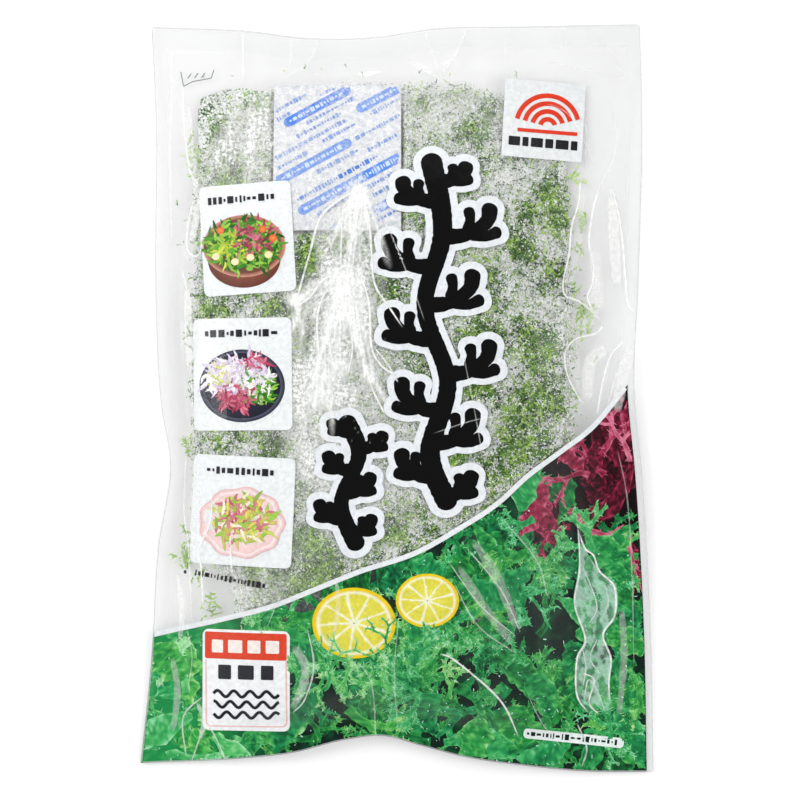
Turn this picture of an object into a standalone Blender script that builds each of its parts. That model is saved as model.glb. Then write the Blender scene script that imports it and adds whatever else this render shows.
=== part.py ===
"""A sealed clear pouch of salted tosaka seaweed with a packet inside, lying on its back.

The pouch is two film sheets welded round their edges. Between them lies one pressed block of
tangled fronds, loose sprigs at the block's sides and a small paper sachet on top of it.
X runs across the pouch, Y from its bottom seal to its top seal, and Z is up from the table.
"""
import math

import bmesh
import bpy
from mathutils import Vector, noise

# Driving dimensions, in metres
FILM = 0.0005            # film thickness, drawn thick enough to be a solid
GAP = 0.0003             # clearance between pieces that touch
FULL_HEIGHT = 0.0245     # top of the full pouch above the table
SIDE_SEAL = 0.005        # width of the flat weld down each side
END_SEAL = 0.008         # width of the flat weld at the top and bottom
PARTING = 0.006          # distance past the weld over which the films come apart
BLOCK_CENTRE = (-0.0052, -0.003)
BLOCK_HALF = (0.0775, 0.1285)      # half width and half length of the seaweed block
BLOCK_SQUARENESS = 3.6             # 2 is an ellipse, more is squarer
SACHET_CENTRE = (-0.0237, 0.0955)
SACHET_SIZE = (0.0510, 0.0590)
SACHET_BULGE = 0.0036              # thickness of its filling at the middle

# Edges of the pouch: (place along the edge, distance from the centre line)
LEFT_EDGE = [(-0.148, -0.1030), (-0.105, -0.0985), (-0.060, -0.0957), (-0.026, -0.0908),
             (-0.004, -0.0942), (0.040, -0.0966), (0.110, -0.0968), (0.148, -0.0985)]
RIGHT_EDGE = [(-0.150, 0.1030), (-0.100, 0.1020), (-0.030, 0.0980), (0.003, 0.0950),
              (0.045, 0.0966), (0.110, 0.0984), (0.150, 0.0975)]
TOP_EDGE = [(-0.100, 0.1490), (-0.058, 0.1470), (-0.038, 0.1445), (-0.006, 0.1450),
            (0.014, 0.1480), (0.050, 0.1490), (0.100, 0.1500)]
BOTTOM_EDGE = [(-0.103, -0.1465), (-0.058, -0.1440), (-0.042, -0.1420), (-0.020, -0.1365),
               (-0.006, -0.1350), (0.010, -0.1390), (0.025, -0.1430), (0.050, -0.1470),
               (0.075, -0.1496), (0.103, -0.1500)]

# How high the welded edges stand off the table
CORNER_RISE = 0.0009
SIDE_RISE = 0.0052
TOP_RISE = 0.0016
BOTTOM_RISE = 0.0062
FLOOR = FILM + GAP / 2             # mid plane between the two films where they lie flat

# Loose sprigs: base point, heading in degrees, length and number of forks
SPRIGS = {
    "sprig_right_upper": ((0.0730, 0.0660), 84, 0.011, 1),
    "sprig_right_middle": ((0.0740, 0.0420), -80, 0.015, 2),
    "sprig_right_lower": ((0.0745, -0.0120), -82, 0.012, 2),
    "sprig_right_bottom": ((0.0748, -0.0700), -84, 0.012, 1),
    "sprig_left_middle": ((-0.0838, -0.0130), 270, 0.010, 1),
    "sprig_left_bottom": ((-0.0842, -0.0560), 270, 0.012, 1),
}
SPRIG_WIDTH = 0.0026
SPRIG_THICKNESS = 0.0008
FORK_ANGLE = 20


def through(points, place):
    """Value at a place on the smooth curve through (place, value) points."""
    last = len(points) - 1
    place = min(max(place, points[0][0]), points[last][0])
    i = max(k for k in range(last) if points[k][0] <= place)
    slopes = []
    for k in (i, i + 1):
        a, b = points[max(k - 1, 0)], points[min(k + 1, last)]
        slopes.append((b[1] - a[1]) / (b[0] - a[0]))
    (x0, y0), (x1, y1) = points[i], points[i + 1]
    span = x1 - x0
    t = (place - x0) / span
    return (y0 * (1 + 2 * t) * (1 - t) ** 2 + slopes[0] * span * t * (1 - t) ** 2
            + y1 * t * t * (3 - 2 * t) + slopes[1] * span * t * t * (t - 1))


def ease(t):
    """Smooth step from 0 to 1."""
    t = min(max(t, 0.0), 1.0)
    return t * t * (3 - 2 * t)


def block_norm(x, y):
    """0 at the middle of the seaweed block, 1 on its outline."""
    across = abs(x - BLOCK_CENTRE[0]) / BLOCK_HALF[0]
    along = abs(y - BLOCK_CENTRE[1]) / BLOCK_HALF[1]
    return (across ** BLOCK_SQUARENESS + along ** BLOCK_SQUARENESS) ** (1 / BLOCK_SQUARENESS)


def seal_rise(x, y):
    """Height of the weld plane above its lowest point: high at mid sides and mid bottom."""
    side = (x / 0.098) ** 2 * math.cos(math.pi * min(abs(y) / 0.150, 1) / 2) ** 2
    middle = math.cos(math.pi * min(abs(x) / 0.103, 1) / 2) ** 2
    end = (y / 0.145) ** 2 * middle
    return CORNER_RISE + SIDE_RISE * side + (BOTTOM_RISE if y < 0 else TOP_RISE) * end


def inside(x, y):
    """0 on the weld, 1 where the films are free to part."""
    left = x - through(LEFT_EDGE, y)
    right = through(RIGHT_EDGE, y) - x
    top = through(TOP_EDGE, x) - y
    bottom = y - through(BOTTOM_EDGE, x)
    part = 1.0
    for distance, seal in ((left, SIDE_SEAL), (right, SIDE_SEAL), (top, END_SEAL), (bottom, END_SEAL)):
        part *= ease((distance - seal) / PARTING)
    return part


def front_height(x, y):
    """Inner side of the front film: a full pillow over the block that closes at the weld."""
    seal = seal_rise(x, y)
    swell = math.exp(-(block_norm(x, y) / 0.95) ** 5)
    waves = 0.0009 * noise.noise(Vector((x * 22, y * 22, 3.1)))
    return FLOOR + seal + (FULL_HEIGHT - FLOOR - FILM - seal + waves) * swell * inside(x, y)


def back_height(x, y):
    """Inner side of the back film: flat on the table under the block, rising to the weld."""
    rise = ease((block_norm(x, y) - 0.82) / 0.40)
    return FLOOR + seal_rise(x, y) * (1 - (1 - rise) * inside(x, y))


def material(name, colour, roughness, alpha=1.0):
    mat = bpy.data.materials.new(name)
    mat.use_nodes = True
    shader = mat.node_tree.nodes["Principled BSDF"]
    shader.inputs["Base Color"].default_value = (*colour, 1)
    shader.inputs["Roughness"].default_value = roughness
    shader.inputs["Alpha"].default_value = alpha
    return mat


def finish(bm, name, mat):
    """Turn a bmesh into a smooth-shaded object in the scene."""
    mesh = bpy.data.meshes.new(name)
    bmesh.ops.recalc_face_normals(bm, faces=bm.faces)
    bm.to_mesh(mesh)
    bm.free()
    mesh.shade_smooth()
    mesh.materials.append(mat)
    obj = bpy.data.objects.new(name, mesh)
    bpy.context.scene.collection.objects.link(obj)
    return obj


def film_sheet(name, height, outward, cells, mat):
    """One film: a grid laid out between the pouch's edges, with its thickness outwards."""
    bm = bmesh.new()
    bmesh.ops.create_grid(bm, x_segments=cells[0], y_segments=cells[1], size=1)
    for vert in bm.verts:
        u, v = (vert.co.x + 1) / 2, (vert.co.y + 1) / 2
        left, right = through(LEFT_EDGE, 0.3 * v - 0.15), through(RIGHT_EDGE, 0.3 * v - 0.15)
        bottom, top = through(BOTTOM_EDGE, 0.206 * u - 0.103), through(TOP_EDGE, 0.206 * u - 0.103)
        x = left + (right - left) * u
        y = bottom + (top - bottom) * v
        vert.co = (x, y, height(x, y) + outward * GAP / 2)
    sheet = finish(bm, name, mat)
    if sheet.data.polygons[0].normal.z < 0:
        sheet.data.flip_normals()
    solid = sheet.modifiers.new("film thickness", "SOLIDIFY")
    solid.thickness = FILM
    solid.offset = outward
    return sheet


def sachet_local(x, y):
    """Place on the sachet: -1 to 1 across it and along it."""
    return (2 * (x - SACHET_CENTRE[0]) / SACHET_SIZE[0], 2 * (y - SACHET_CENTRE[1]) / SACHET_SIZE[1])


def sachet_half_thickness(u, v):
    """Half of the sachet's thickness: full in the middle, flat on its crimped edges."""
    fill = ease((1 - abs(u)) / 0.55) * ease((1 - abs(v)) / 0.5)
    return 0.0003 + SACHET_BULGE / 2 * fill


def sachet_middle(x, y):
    """Mid height of the sachet, which hugs the front film."""
    u, v = sachet_local(x, y)
    return front_height(x, y) - 0.0011 - sachet_half_thickness(u, v)


def block_top(x, y):
    """Top of the seaweed: rounded frond lumps under the film, pressed down below the sachet."""
    folds = abs(noise.noise(Vector((x * 62, y * 62, 0.7)))) + 0.5 * abs(noise.noise(Vector((x * 130, y * 130, 5.2))))
    height = front_height(x, y) - 0.0009 - 0.0034 * min(folds * 1.5, 1)
    u, v = sachet_local(x, y)
    if max(abs(u), abs(v)) < 1.15:
        under = sachet_middle(x, y) - sachet_half_thickness(u, v) - 0.0007
        height = min(height, under)
    return height


def block_outline_factor(angle):
    """Lobed outline of the block, as a factor on its half sizes."""
    lobes = noise.noise(Vector((2.6 * math.cos(angle), 2.6 * math.sin(angle), 9.0)))
    tips = noise.noise(Vector((8 * math.cos(angle), 8 * math.sin(angle), 2.0)))
    return 0.985 + 0.020 * lobes + 0.022 * tips


def seaweed_block(mat):
    """The pressed block: a lobed grid for its top, two rings for its side and a flat underside."""
    bm = bmesh.new()
    bmesh.ops.create_grid(bm, x_segments=34, y_segments=52, size=1)
    for vert in bm.verts:
        u, v = vert.co.x, vert.co.y
        x = BLOCK_HALF[0] * u * math.sqrt(1 - 0.20 * v ** 4)
        y = BLOCK_HALF[1] * v * math.sqrt(1 - 0.14 * u ** 4)
        edge = max(abs(u), abs(v))
        factor = 1 + (block_outline_factor(math.atan2(v, u)) - 1) * edge ** 3
        x, y = BLOCK_CENTRE[0] + x * factor, BLOCK_CENTRE[1] + y * factor
        low, high = back_height(x, y) + 0.0010, block_top(x, y)
        skirt = low + (high - low) * 0.55
        vert.co = (x, y, skirt + (high - skirt) * ease((1 - edge) / 0.09))
    rim = [edge for edge in bm.edges if edge.is_boundary]
    for shrink, lift in ((0.965, 0.0013), (0.845, 0.0005)):
        grown = bmesh.ops.extrude_edge_only(bm, edges=rim)["geom"]
        rim = [part for part in grown if isinstance(part, bmesh.types.BMEdge) and part.is_boundary]
        for vert in {vert for edge in rim for vert in edge.verts}:
            x = BLOCK_CENTRE[0] + (vert.co.x - BLOCK_CENTRE[0]) * shrink
            y = BLOCK_CENTRE[1] + (vert.co.y - BLOCK_CENTRE[1]) * shrink
            vert.co = (x, y, back_height(x, y) + lift)
    bmesh.ops.holes_fill(bm, edges=rim, sides=0)
    return finish(bm, "seaweed_block", mat)


def sachet(mat):
    """Paper packet: a pillow grid above and below its mid surface, closed at the crimps."""
    bm = bmesh.new()
    sides = []
    for sign in (1, -1):
        grid = bmesh.ops.create_grid(bm, x_segments=12, y_segments=14, size=1)["verts"]
        rim = []
        for vert in grid:
            u, v = vert.co.x, vert.co.y
            x = SACHET_CENTRE[0] + u * SACHET_SIZE[0] / 2
            y = SACHET_CENTRE[1] + v * SACHET_SIZE[1] / 2
            vert.co = (x, y, sachet_middle(x, y) + sign * sachet_half_thickness(u, v))
            if max(abs(u), abs(v)) > 0.999:
                rim.append(vert)
        edges = {edge for vert in rim for edge in vert.link_edges if edge.is_boundary}
        sides.append(list(edges))
    bmesh.ops.bridge_loops(bm, edges=sides[0] + sides[1])
    return finish(bm, "sachet", mat)


def frond_outline(base, heading, length, width, forks):
    """Points round a forked frond, from its base's left side over the tips to its right side."""
    ahead = Vector((math.cos(heading), math.sin(heading)))
    left = Vector((-ahead.y, ahead.x))
    stem = length if forks == 0 else length * 0.42
    end = base + ahead * stem
    if forks == 0:
        return [base + left * width / 2, end + left * width * 0.42 - ahead * width * 0.5,
                end + left * width * 0.2, end - left * width * 0.2,
                end - left * width * 0.42 - ahead * width * 0.5, base - left * width / 2]
    spread = math.radians(FORK_ANGLE)
    points = [base + left * width / 2]
    for side in (1, -1):
        start = end + left * side * width * 0.40 + ahead * width * 0.25
        points += frond_outline(start, heading + side * spread, length - stem, width * 0.72, forks - 1)
        if side == 1:
            points.append(end + ahead * width * 0.35)
    points.append(base - left * width / 2)
    return points


def sprig(name, base, heading, length, forks, mat):
    """A loose sprig: a flat forked frond that lies on the back film beside the block."""
    bm = bmesh.new()
    outline = frond_outline(Vector(base), math.radians(heading), length, SPRIG_WIDTH, forks)
    low = [bm.verts.new((p.x, p.y, 0)) for p in outline]
    face = bm.faces.new(low)
    bmesh.ops.extrude_face_region(bm, geom=[face])
    low = set(low)
    for vert in bm.verts:
        x, y = vert.co.x, vert.co.y
        lift = 0.0006 if vert in low else 0.0006 + SPRIG_THICKNESS
        vert.co.z = back_height(x, y) + lift
    bmesh.ops.triangulate(bm, faces=bm.faces)
    return finish(bm, name, mat)


for old in list(bpy.data.objects):
    bpy.data.objects.remove(old, do_unlink=True)

film_mat = material("clear film", (0.90, 0.92, 0.92), 0.12, 0.35)
back_mat = material("back film", (0.88, 0.90, 0.90), 0.15, 0.35)
weed_mat = material("salted seaweed", (0.30, 0.42, 0.20), 0.55)
sprig_mat = material("green sprig", (0.16, 0.36, 0.09), 0.45)
paper_mat = material("sachet paper", (0.84, 0.87, 0.90), 0.60)

film_sheet("front_film", front_height, 1, (22, 32), film_mat)
film_sheet("back_film", back_height, -1, (16, 24), back_mat)
seaweed_block(weed_mat)
sachet(paper_mat)
for sprig_name, (sprig_base, sprig_heading, sprig_length, sprig_forks) in SPRIGS.items():
    sprig(sprig_name, sprig_base, sprig_heading, sprig_length, sprig_forks, sprig_mat)
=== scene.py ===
"""Looks of a sealed clear pouch of salted tosaka seaweed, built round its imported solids.

Places and sizes are numbers in mm, which MM turns to metres where a mesh is written. Materials,
floor, lamps and camera are in metres. X runs across the pouch, Y from its bottom weld to its top
weld, and Z is up from the table that it lies on.
"""

import math

import bpy
import numpy as np
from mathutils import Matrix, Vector
from mathutils.bvhtree import BVHTree


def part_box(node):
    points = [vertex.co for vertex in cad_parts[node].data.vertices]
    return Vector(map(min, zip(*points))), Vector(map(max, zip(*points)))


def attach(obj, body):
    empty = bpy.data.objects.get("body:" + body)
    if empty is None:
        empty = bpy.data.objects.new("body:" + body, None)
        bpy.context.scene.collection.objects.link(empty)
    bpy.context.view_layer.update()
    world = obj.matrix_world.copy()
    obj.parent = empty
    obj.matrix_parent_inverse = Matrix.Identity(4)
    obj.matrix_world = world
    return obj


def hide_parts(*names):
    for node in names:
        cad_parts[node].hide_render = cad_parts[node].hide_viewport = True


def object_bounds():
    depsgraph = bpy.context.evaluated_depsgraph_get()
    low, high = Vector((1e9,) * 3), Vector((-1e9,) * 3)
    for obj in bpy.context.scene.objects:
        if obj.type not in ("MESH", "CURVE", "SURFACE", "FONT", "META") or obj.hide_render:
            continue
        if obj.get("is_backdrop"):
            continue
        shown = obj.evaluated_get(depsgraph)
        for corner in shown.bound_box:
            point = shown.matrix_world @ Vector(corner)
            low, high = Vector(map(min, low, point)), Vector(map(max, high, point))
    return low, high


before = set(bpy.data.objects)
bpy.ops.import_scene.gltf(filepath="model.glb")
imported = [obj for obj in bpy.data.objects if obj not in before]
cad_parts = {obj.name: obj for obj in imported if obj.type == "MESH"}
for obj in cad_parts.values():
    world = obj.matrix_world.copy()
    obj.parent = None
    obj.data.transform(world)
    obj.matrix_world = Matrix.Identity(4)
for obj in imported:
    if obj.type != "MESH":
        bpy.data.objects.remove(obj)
cad_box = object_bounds()
bpy.ops.object.select_all(action="DESELECT")
MM = 0.001

# ---------------------------------------------------------------------------------------------
# Front film: one sheet of clear laminate, welded to the back film all round. It is drawn tight
# over the seaweed, slack at the sides, and creased where it was pressed and handled.
LEFT_EDGE = [(-148, -103.0), (-105, -98.5), (-60, -95.7), (-26, -90.8), (-4, -94.2), (40, -96.6),
             (110, -96.8), (148, -98.5)]
RIGHT_EDGE = [(-150, 103.0), (-100, 102.0), (-30, 98.0), (3, 95.0), (45, 96.6), (110, 98.4),
              (150, 97.5)]
TOP_EDGE = [(-100, 149.0), (-58, 147.0), (-38, 144.5), (-6, 145.0), (14, 148.0), (50, 149.0),
            (100, 150.0)]
BOTTOM_EDGE = [(-103, -146.5), (-58, -144.0), (-42, -142.0), (-20, -136.5), (-6, -135.0),
               (10, -139.0), (25, -143.0), (50, -147.0), (75, -149.6), (103, -150.0)]
POUCH_WIDTH, POUCH_LENGTH = 206, 300
SIDE_SEAL, END_SEAL = 5, 8       # widths of the welds
FILM_DRAWN = 0.5                 # thickness that the solid films are drawn with
FILM_GRID = (296, 332)           # cells across and along
SLACK_REACH = 6                  # how far past a weld the films take to come free
ON_FILM = 0.02                   # how far a skin on the outside of the front film stands off it


def along(points, place):
    """Values at places on the smooth curve through (place, value) points."""
    place = np.asarray(place, float)
    knots, values = (np.array(column, float) for column in zip(*points))
    slopes = np.gradient(values, knots)
    place = np.clip(place, knots[0], knots[-1])
    i = np.clip(np.searchsorted(knots, place, side="right") - 1, 0, len(knots) - 2)
    span = knots[i + 1] - knots[i]
    t = (place - knots[i]) / span
    return (values[i] * (1 + 2 * t) * (1 - t) ** 2 + slopes[i] * span * t * (1 - t) ** 2
            + values[i + 1] * t * t * (3 - 2 * t) + slopes[i + 1] * span * t * t * (t - 1))


def ease(t):
    """Smooth step from 0 to 1."""
    t = np.clip(t, 0, 1)
    return t * t * (3 - 2 * t)


def noise2(x, y, seed):
    """Smooth noise from about -1 to 1 over a plane whose lattice points are one unit apart."""
    angle = np.random.default_rng(seed).uniform(0, 2 * np.pi, (64, 64))
    column, row = np.floor(x).astype(int), np.floor(y).astype(int)
    fx, fy = x - column, y - row
    u, v = (f ** 3 * (f * (f * 6 - 15) + 10) for f in (fx, fy))

    def corner(i, j):
        turn = angle[(column + i) % 64, (row + j) % 64]
        return np.cos(turn) * (fx - i) + np.sin(turn) * (fy - j)

    low = corner(0, 0) * (1 - u) + corner(1, 0) * u
    high = corner(0, 1) * (1 - u) + corner(1, 1) * u
    return 1.5 * (low * (1 - v) + high * v)


class HeightMap:
    """Heights in mm on a square lattice, read between its points by smooth splines."""

    def __init__(self, corner, step, height):
        self.corner, self.step, self.height = corner, step, height

    def at(self, x, y):
        """Height at places in mm."""
        cells, weights = [], []
        for value, start, size in zip((x, y), self.corner, self.height.shape):
            f = (np.asarray(value, float) - start) / self.step
            i = np.clip(np.floor(f).astype(int), 1, size - 3)
            t = np.clip(f - i, 0, 1)
            cells.append(i)
            weights.append([(1 - t) ** 3 / 6, (3 * t ** 3 - 6 * t * t + 4) / 6,
                            (-3 * t ** 3 + 3 * t * t + 3 * t + 1) / 6, t ** 3 / 6])
        return sum(weights[0][a] * weights[1][b] * self.height[cells[0] + a - 1, cells[1] + b - 1]
                   for a in range(4) for b in range(4))


def height_of(node, side, blur):
    """Height map read from a solid, from above (side 1) or from below (side -1), and smoothed."""
    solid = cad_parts[node]
    tree = BVHTree.FromPolygons([v.co for v in solid.data.vertices],
                                [p.vertices for p in solid.data.polygons])
    low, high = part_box(node)
    corner = [math.floor(c / MM) - 4 for c in low[:2]]
    height = np.full([math.ceil(high[k] / MM) + 4 - corner[k] for k in (0, 1)], np.nan)
    for i, j in np.ndindex(height.shape):
        start = Vector(((corner[0] + i) * MM, (corner[1] + j) * MM, side * 0.1))
        hit = tree.ray_cast(start, Vector((0, 0, -side)))[0]
        if hit is not None:
            height[i, j] = hit.z / MM
    known = np.isfinite(height)
    parts = [np.where(known, height, 0), known.astype(float)]
    for _ in range(blur):
        for axis in (0, 1):
            parts = [(2 * g + np.roll(g, 1, axis) + np.roll(g, -1, axis)) / 4 for g in parts]
    return HeightMap(corner, 1.0, parts[0] / np.maximum(parts[1], 1e-9))


def free_of_weld(x, y, reach):
    """0 on the welds and 1 once the films are reach mm clear of them."""
    part = 1.0
    for distance, weld in ((x - along(LEFT_EDGE, y), SIDE_SEAL), (along(RIGHT_EDGE, y) - x, SIDE_SEAL),
                           (along(TOP_EDGE, x) - y, END_SEAL), (y - along(BOTTOM_EDGE, x), END_SEAL)):
        part = part * ease((distance - weld) / reach)
    return part


# Creases: route in mm, half width, height, lean (how much steeper one flank is), and how bright
# the painted highlight along the fold is
CREASES = [
    ([(-61.7, 149), (-61.9, 127)], 1.3, 0.8, 0.8, 0.5),
    ([(28, 148), (23, 137), (17.5, 128)], 1.4, 1.0, 0.6, 0.4),
    ([(11, 147), (14.5, 137), (17, 129)], 1.2, 0.8, -0.6, 0.3),
    ([(3.6, 136), (10, 131), (17, 128)], 1.1, 0.6, 0.3, 0.3),
    ([(-42, 145), (-43, 132)], 1.0, 0.5, 0.5, 0.3),
    ([(-30, 146), (-36, 134), (-45, 128)], 1.2, 0.5, 0.5, 0.2),
    ([(44, 148), (43, 134)], 1.2, 0.6, 0.5, 0.2), ([(60, 135), (78, 131), (91, 129)], 1.6, 0.6, 0.5, 0.3),
    ([(91, 129), (84, 140), (74, 147)], 1.5, 0.5, 0.3, 0.2),
    ([(-86, 124), (-85.5, 112), (-83, 92), (-78.5, 84)], 1.4, 0.8, 0.6, 0.8),
    ([(-80.5, 81), (-83, 72), (-84, 61), (-81.7, 57), (-78.5, 58), (-77.3, 70), (-76, 80)], 1.0, 0.5, 0.5,
     0.8),
    ([(-86, 51), (-84, 43), (-84.5, 31), (-83, 8)], 1.3, 0.7, 0.7, 0.6),
    ([(-80, 32), (-82, 10), (-80, -16)], 1.2, 0.6, 0.4, 0.4),
    ([(-84, -20), (-85, -44), (-83, -62), (-82, -92)], 1.6, 0.9, 0.5, 0.5),
    ([(-74, -34), (-74.1, -48.6), (-78.9, -60), (-78, -68), (-77.3, -86)], 1.2, 0.7, -0.5, 0.8),
    ([(-66.3, -54), (-65.3, -70)], 1.0, 0.5, 0.5, 0.7),
    ([(-27.5, -55.4), (-36.5, -65.3), (-45.4, -77.3), (-52, -92)], 1.3, 0.6, 0.5, 0.3),
    ([(-14.7, 83), (-23, 78), (-30.3, 71), (-34.3, 57.4), (-37.8, 45), (-40, 37)], 1.0, 0.7, 0.6, 1.0),
    ([(-14.7, 83), (-20, 77), (-21.5, 71), (-22.3, 50)], 1.0, 0.7, 0.5, 0.9),
    ([(-14.7, 83), (-11.2, 71), (-10, 57.4), (-8.8, 45), (-3.2, 36), (2.4, 27.5)], 1.0, 0.8, -0.5, 1.0),
    ([(-14.7, 83), (-16.5, 70), (-17, 56), (-18, 47)], 1.0, 0.6, 0.5, 0.6),
    ([(-12, 84), (-3, 66), (6, 44), (11, 30)], 1.0, 0.5, 0.5, 0.3),
    ([(-22, 49), (-29, 46.6), (-34.3, 39.8), (-39.8, 35.9)], 1.0, 0.6, 0.6, 1.0),
    ([(-23, 48), (-29, 40), (-31.5, 30), (-30.3, 12)], 1.0, 0.6, 0.5, 0.9),
    ([(-22, 48), (-24.3, 36), (-27, 26), (-24.7, 10)], 1.0, 0.6, -0.5, 0.9),
    ([(-18, 48), (-18.7, 33), (-17.5, 19.5), (-19.5, 9)], 1.0, 0.6, 0.5, 0.9),
    ([(-14, 48), (-11, 37), (-10, 20), (-6, 12.7), (-0.4, 8.8)], 1.0, 0.6, 0.5, 1.0),
    ([(-9, 20), (-3.5, 13), (0.5, 6)], 0.9, 0.4, 0.5, 0.8),
    ([(-12, 10), (-9, 2), (-4.4, -7)], 1.0, 0.5, 0.5, 0.9),
    ([(-26, 45), (-21, 52), (-14, 50)], 1.0, 0.5, 0.5, 0.9),
    ([(-38, 10), (-31, 4), (-27, -8)], 1.2, 0.4, 0.5, 0.4),
    ([(-52, 22), (-42, 14), (-36, 2)], 1.3, 0.5, 0.5, 0.4),
    ([(-40, -6), (-34, -20), (-38, -36)], 1.3, 0.5, 0.5, 0.4),
    ([(73.7, 92), (72.5, 78), (69.7, 68.5), (68.5, 57), (66.2, 46.6), (66.9, 41), (72.5, 38.6), (77.3, 35),
      (82.5, 29.5)], 1.1, 0.7, 0.8, 0.9),
    ([(82.5, 29.5), (79.7, 25.9), (71.3, 23.5), (66.9, 17.9), (68.1, 8.4), (74.9, -4.4)], 1.1, 0.7, 0.5,
     0.8),
    ([(81.3, 86), (78.5, 75.7), (76.7, 63), (78.5, 52.6), (77.7, 45), (76.1, 39.8), (80, 32)], 1.1, 0.7,
     -0.6, 0.9),
    ([(86.1, 85), (88.8, 73), (90.4, 60.6), (91.2, 49), (92.4, 37.5), (95.6, 34)], 1.2, 0.8, 0.7, 0.9),
    ([(86.1, 85), (84.9, 76), (85.3, 60.6), (86.5, 44)], 1.1, 0.5, -0.6, 0.5),
    ([(91.2, 23.5), (85.3, 16.7), (81.9, 5.2), (79.7, -8)], 1.3, 0.8, 0.7, 0.8),
    ([(93, 22), (88, 10), (84, -3)], 1.0, 0.4, 0.6, 0.5),
    ([(78, 78), (88, 100), (86, 116)], 1.6, 0.5, 0.5, 0.3),
    ([(75, 92), (76, 106), (74, 118)], 1.4, 0.4, 0.5, 0.3),
    ([(17, -101.2), (23.5, -104.4), (41, -120.3), (49, -136.3)], 1.1, 0.8, 0.5, 0.9),
    ([(1, -84), (-1, -108), (0.4, -134)], 1.1, 0.5, 0.5, 0.3),
    ([(-15.9, -104), (-10, -114), (-8.4, -138)], 1.1, 0.5, 0.5, 0.4),
    ([(-35.5, -90.6), (-33, -106), (-36.5, -119.5), (-42, -126)], 1.2, 0.7, 0.5, 0.7),
    ([(-77.3, -119), (-85.7, -128), (-84.5, -144)], 1.2, 0.6, 0.6, 0.6),
    ([(-83, -147), (-76, -132), (-68, -146)], 1.2, 0.5, -0.5, 0.5),
    ([(-84, -92), (-82, -104), (-84, -118)], 1.4, 0.6, 0.5, 0.3),
    ([(20.3, -64.5), (33, -82), (47.4, -94.8)], 1.2, 0.6, 0.5, 0.5),
    ([(26.7, -58.2), (41, -75.7), (49, -93.2)], 1.1, 0.5, -0.4, 0.5),
    ([(41, -47), (55.4, -64.5), (60, -80)], 1.2, 0.6, 0.5, 0.4),
    ([(22, -72), (32, -90), (48, -102)], 1.1, 0.5, 0.4, 0.4),
    ([(72, -48.6), (72.9, -67.7), (70.9, -82), (75.3, -96.4), (72, -104.4), (72, -118.7), (77, -126.7)],
     1.0, 0.7, 0.7, 1.0),
    ([(72, -52), (75, -60), (78.5, -62.9), (81, -69.3), (87, -75.7), (87.2, -87), (82.5, -94.8),
      (85.7, -104.4), (84.9, -114), (85.7, -125)], 1.0, 0.7, -0.6, 1.0),
    ([(74, -110), (79, -113), (77, -122), (81, -127)], 1.0, 0.5, 0.5, 0.8),
    ([(52, -118), (58, -130), (66, -140)], 1.2, 0.6, 0.5, 0.3),
    ([(72, -130), (76, -140), (74, -148)], 1.2, 0.7, 0.6, 0.6),
    ([(8, 96), (22, 106), (38, 112)], 1.4, 0.3, 0.4, 0.1),
    ([(14, -14), (34, -8), (58, -6)], 1.3, 0.4, 0.5, 0.3),
    ([(26, 18), (30, -2), (34, -24)], 1.3, 0.3, 0.5, 0.3),
    ([(88, -20), (92, -40), (94, -70), (95, -110)], 1.5, 0.6, 0.5, 0.3),
    ([(-90, 140), (-91, 100), (-90, 60)], 1.6, 0.5, 0.4, 0.3),
    ([(60, 118), (70, 112), (80, 92)], 1.4, 0.5, 0.5, 0.3)
]


def on_route(route, t):
    """Points on the smooth curve through a route, t legs along it."""
    order = list(enumerate(route))
    return np.stack([along([(k, p[axis]) for k, p in order], t) for axis in (0, 1)], -1)


def rounded(route, steps):
    """Points on the smooth curve through a route, steps to each leg."""
    return on_route(route, np.linspace(0, len(route) - 1, steps * (len(route) - 1) + 1))


def crease_height(x, y, route, width, height, lean):
    """Height in mm of one crease at places in mm: a ridge with one steep flank, fading at its ends."""
    out = np.zeros(np.shape(x))
    points = np.array(route, float)
    reach = 4 * width
    near = np.nonzero((x > points[:, 0].min() - reach) & (x < points[:, 0].max() + reach)
                      & (y > points[:, 1].min() - reach) & (y < points[:, 1].max() + reach))[0]
    if not len(near):
        return out
    points = rounded(route, 8)
    legs = np.hypot(*np.diff(points, axis=0).T)
    starts = np.concatenate([[0], np.cumsum(legs)])
    px, py = x[near], y[near]
    best, place = np.full(px.shape, 1e9), np.zeros(px.shape)
    for k, leg in enumerate(legs):
        (ax, ay), (bx, by) = points[k], points[k + 1]
        ux, uy = (bx - ax) / leg, (by - ay) / leg
        t = np.clip((px - ax) * ux + (py - ay) * uy, 0, leg)
        off_x, off_y = px - ax - ux * t, py - ay - uy * t
        distance = np.hypot(off_x, off_y) * np.where(ux * off_y - uy * off_x < 0, -1, 1)
        closer = np.abs(distance) < np.abs(best)
        best = np.where(closer, distance, best)
        place = np.where(closer, starts[k] + t, place)
    fade = np.sin(np.pi * np.clip(place / starts[-1], 0.0, 1.0)) ** 0.6
    side = best / width * (1 + lean * np.sign(best) * 0.5)
    out[near] = height * fade * np.exp(-np.abs(side) ** 1.5)
    return out


def pressed_film(x, y):
    """Height in mm of the front film, with its creases and the small dents of what it covers."""
    base = height_of("front_film", 1, 12).at(x, y) - FILM_DRAWN
    slack = free_of_weld(x, y, SLACK_REACH)
    folds = sum(crease_height(x, y, *crease[:4]) for crease in CREASES)
    shoulder = ease((np.abs(x + 5) - 48) / 20)
    dents = (1 - 0.8 * shoulder) * (0.12 * noise2(x / 6.2, y / 7.1, 11)
                                    + 0.05 * noise2(x / 2.6, y / 2.9, 12))
    waves = 0.34 * noise2(x / 17, y / 36, 13) + 0.16 * np.abs(noise2(x / 9 + y / 60, y / 26, 14))
    weld = 0.15 + 0.18 * noise2(x / 9, y / 30, 15)
    return base + (1 - slack) * weld + slack * (dents + waves - 0.8) + folds * (0.25 + 0.75 * slack)


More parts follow.
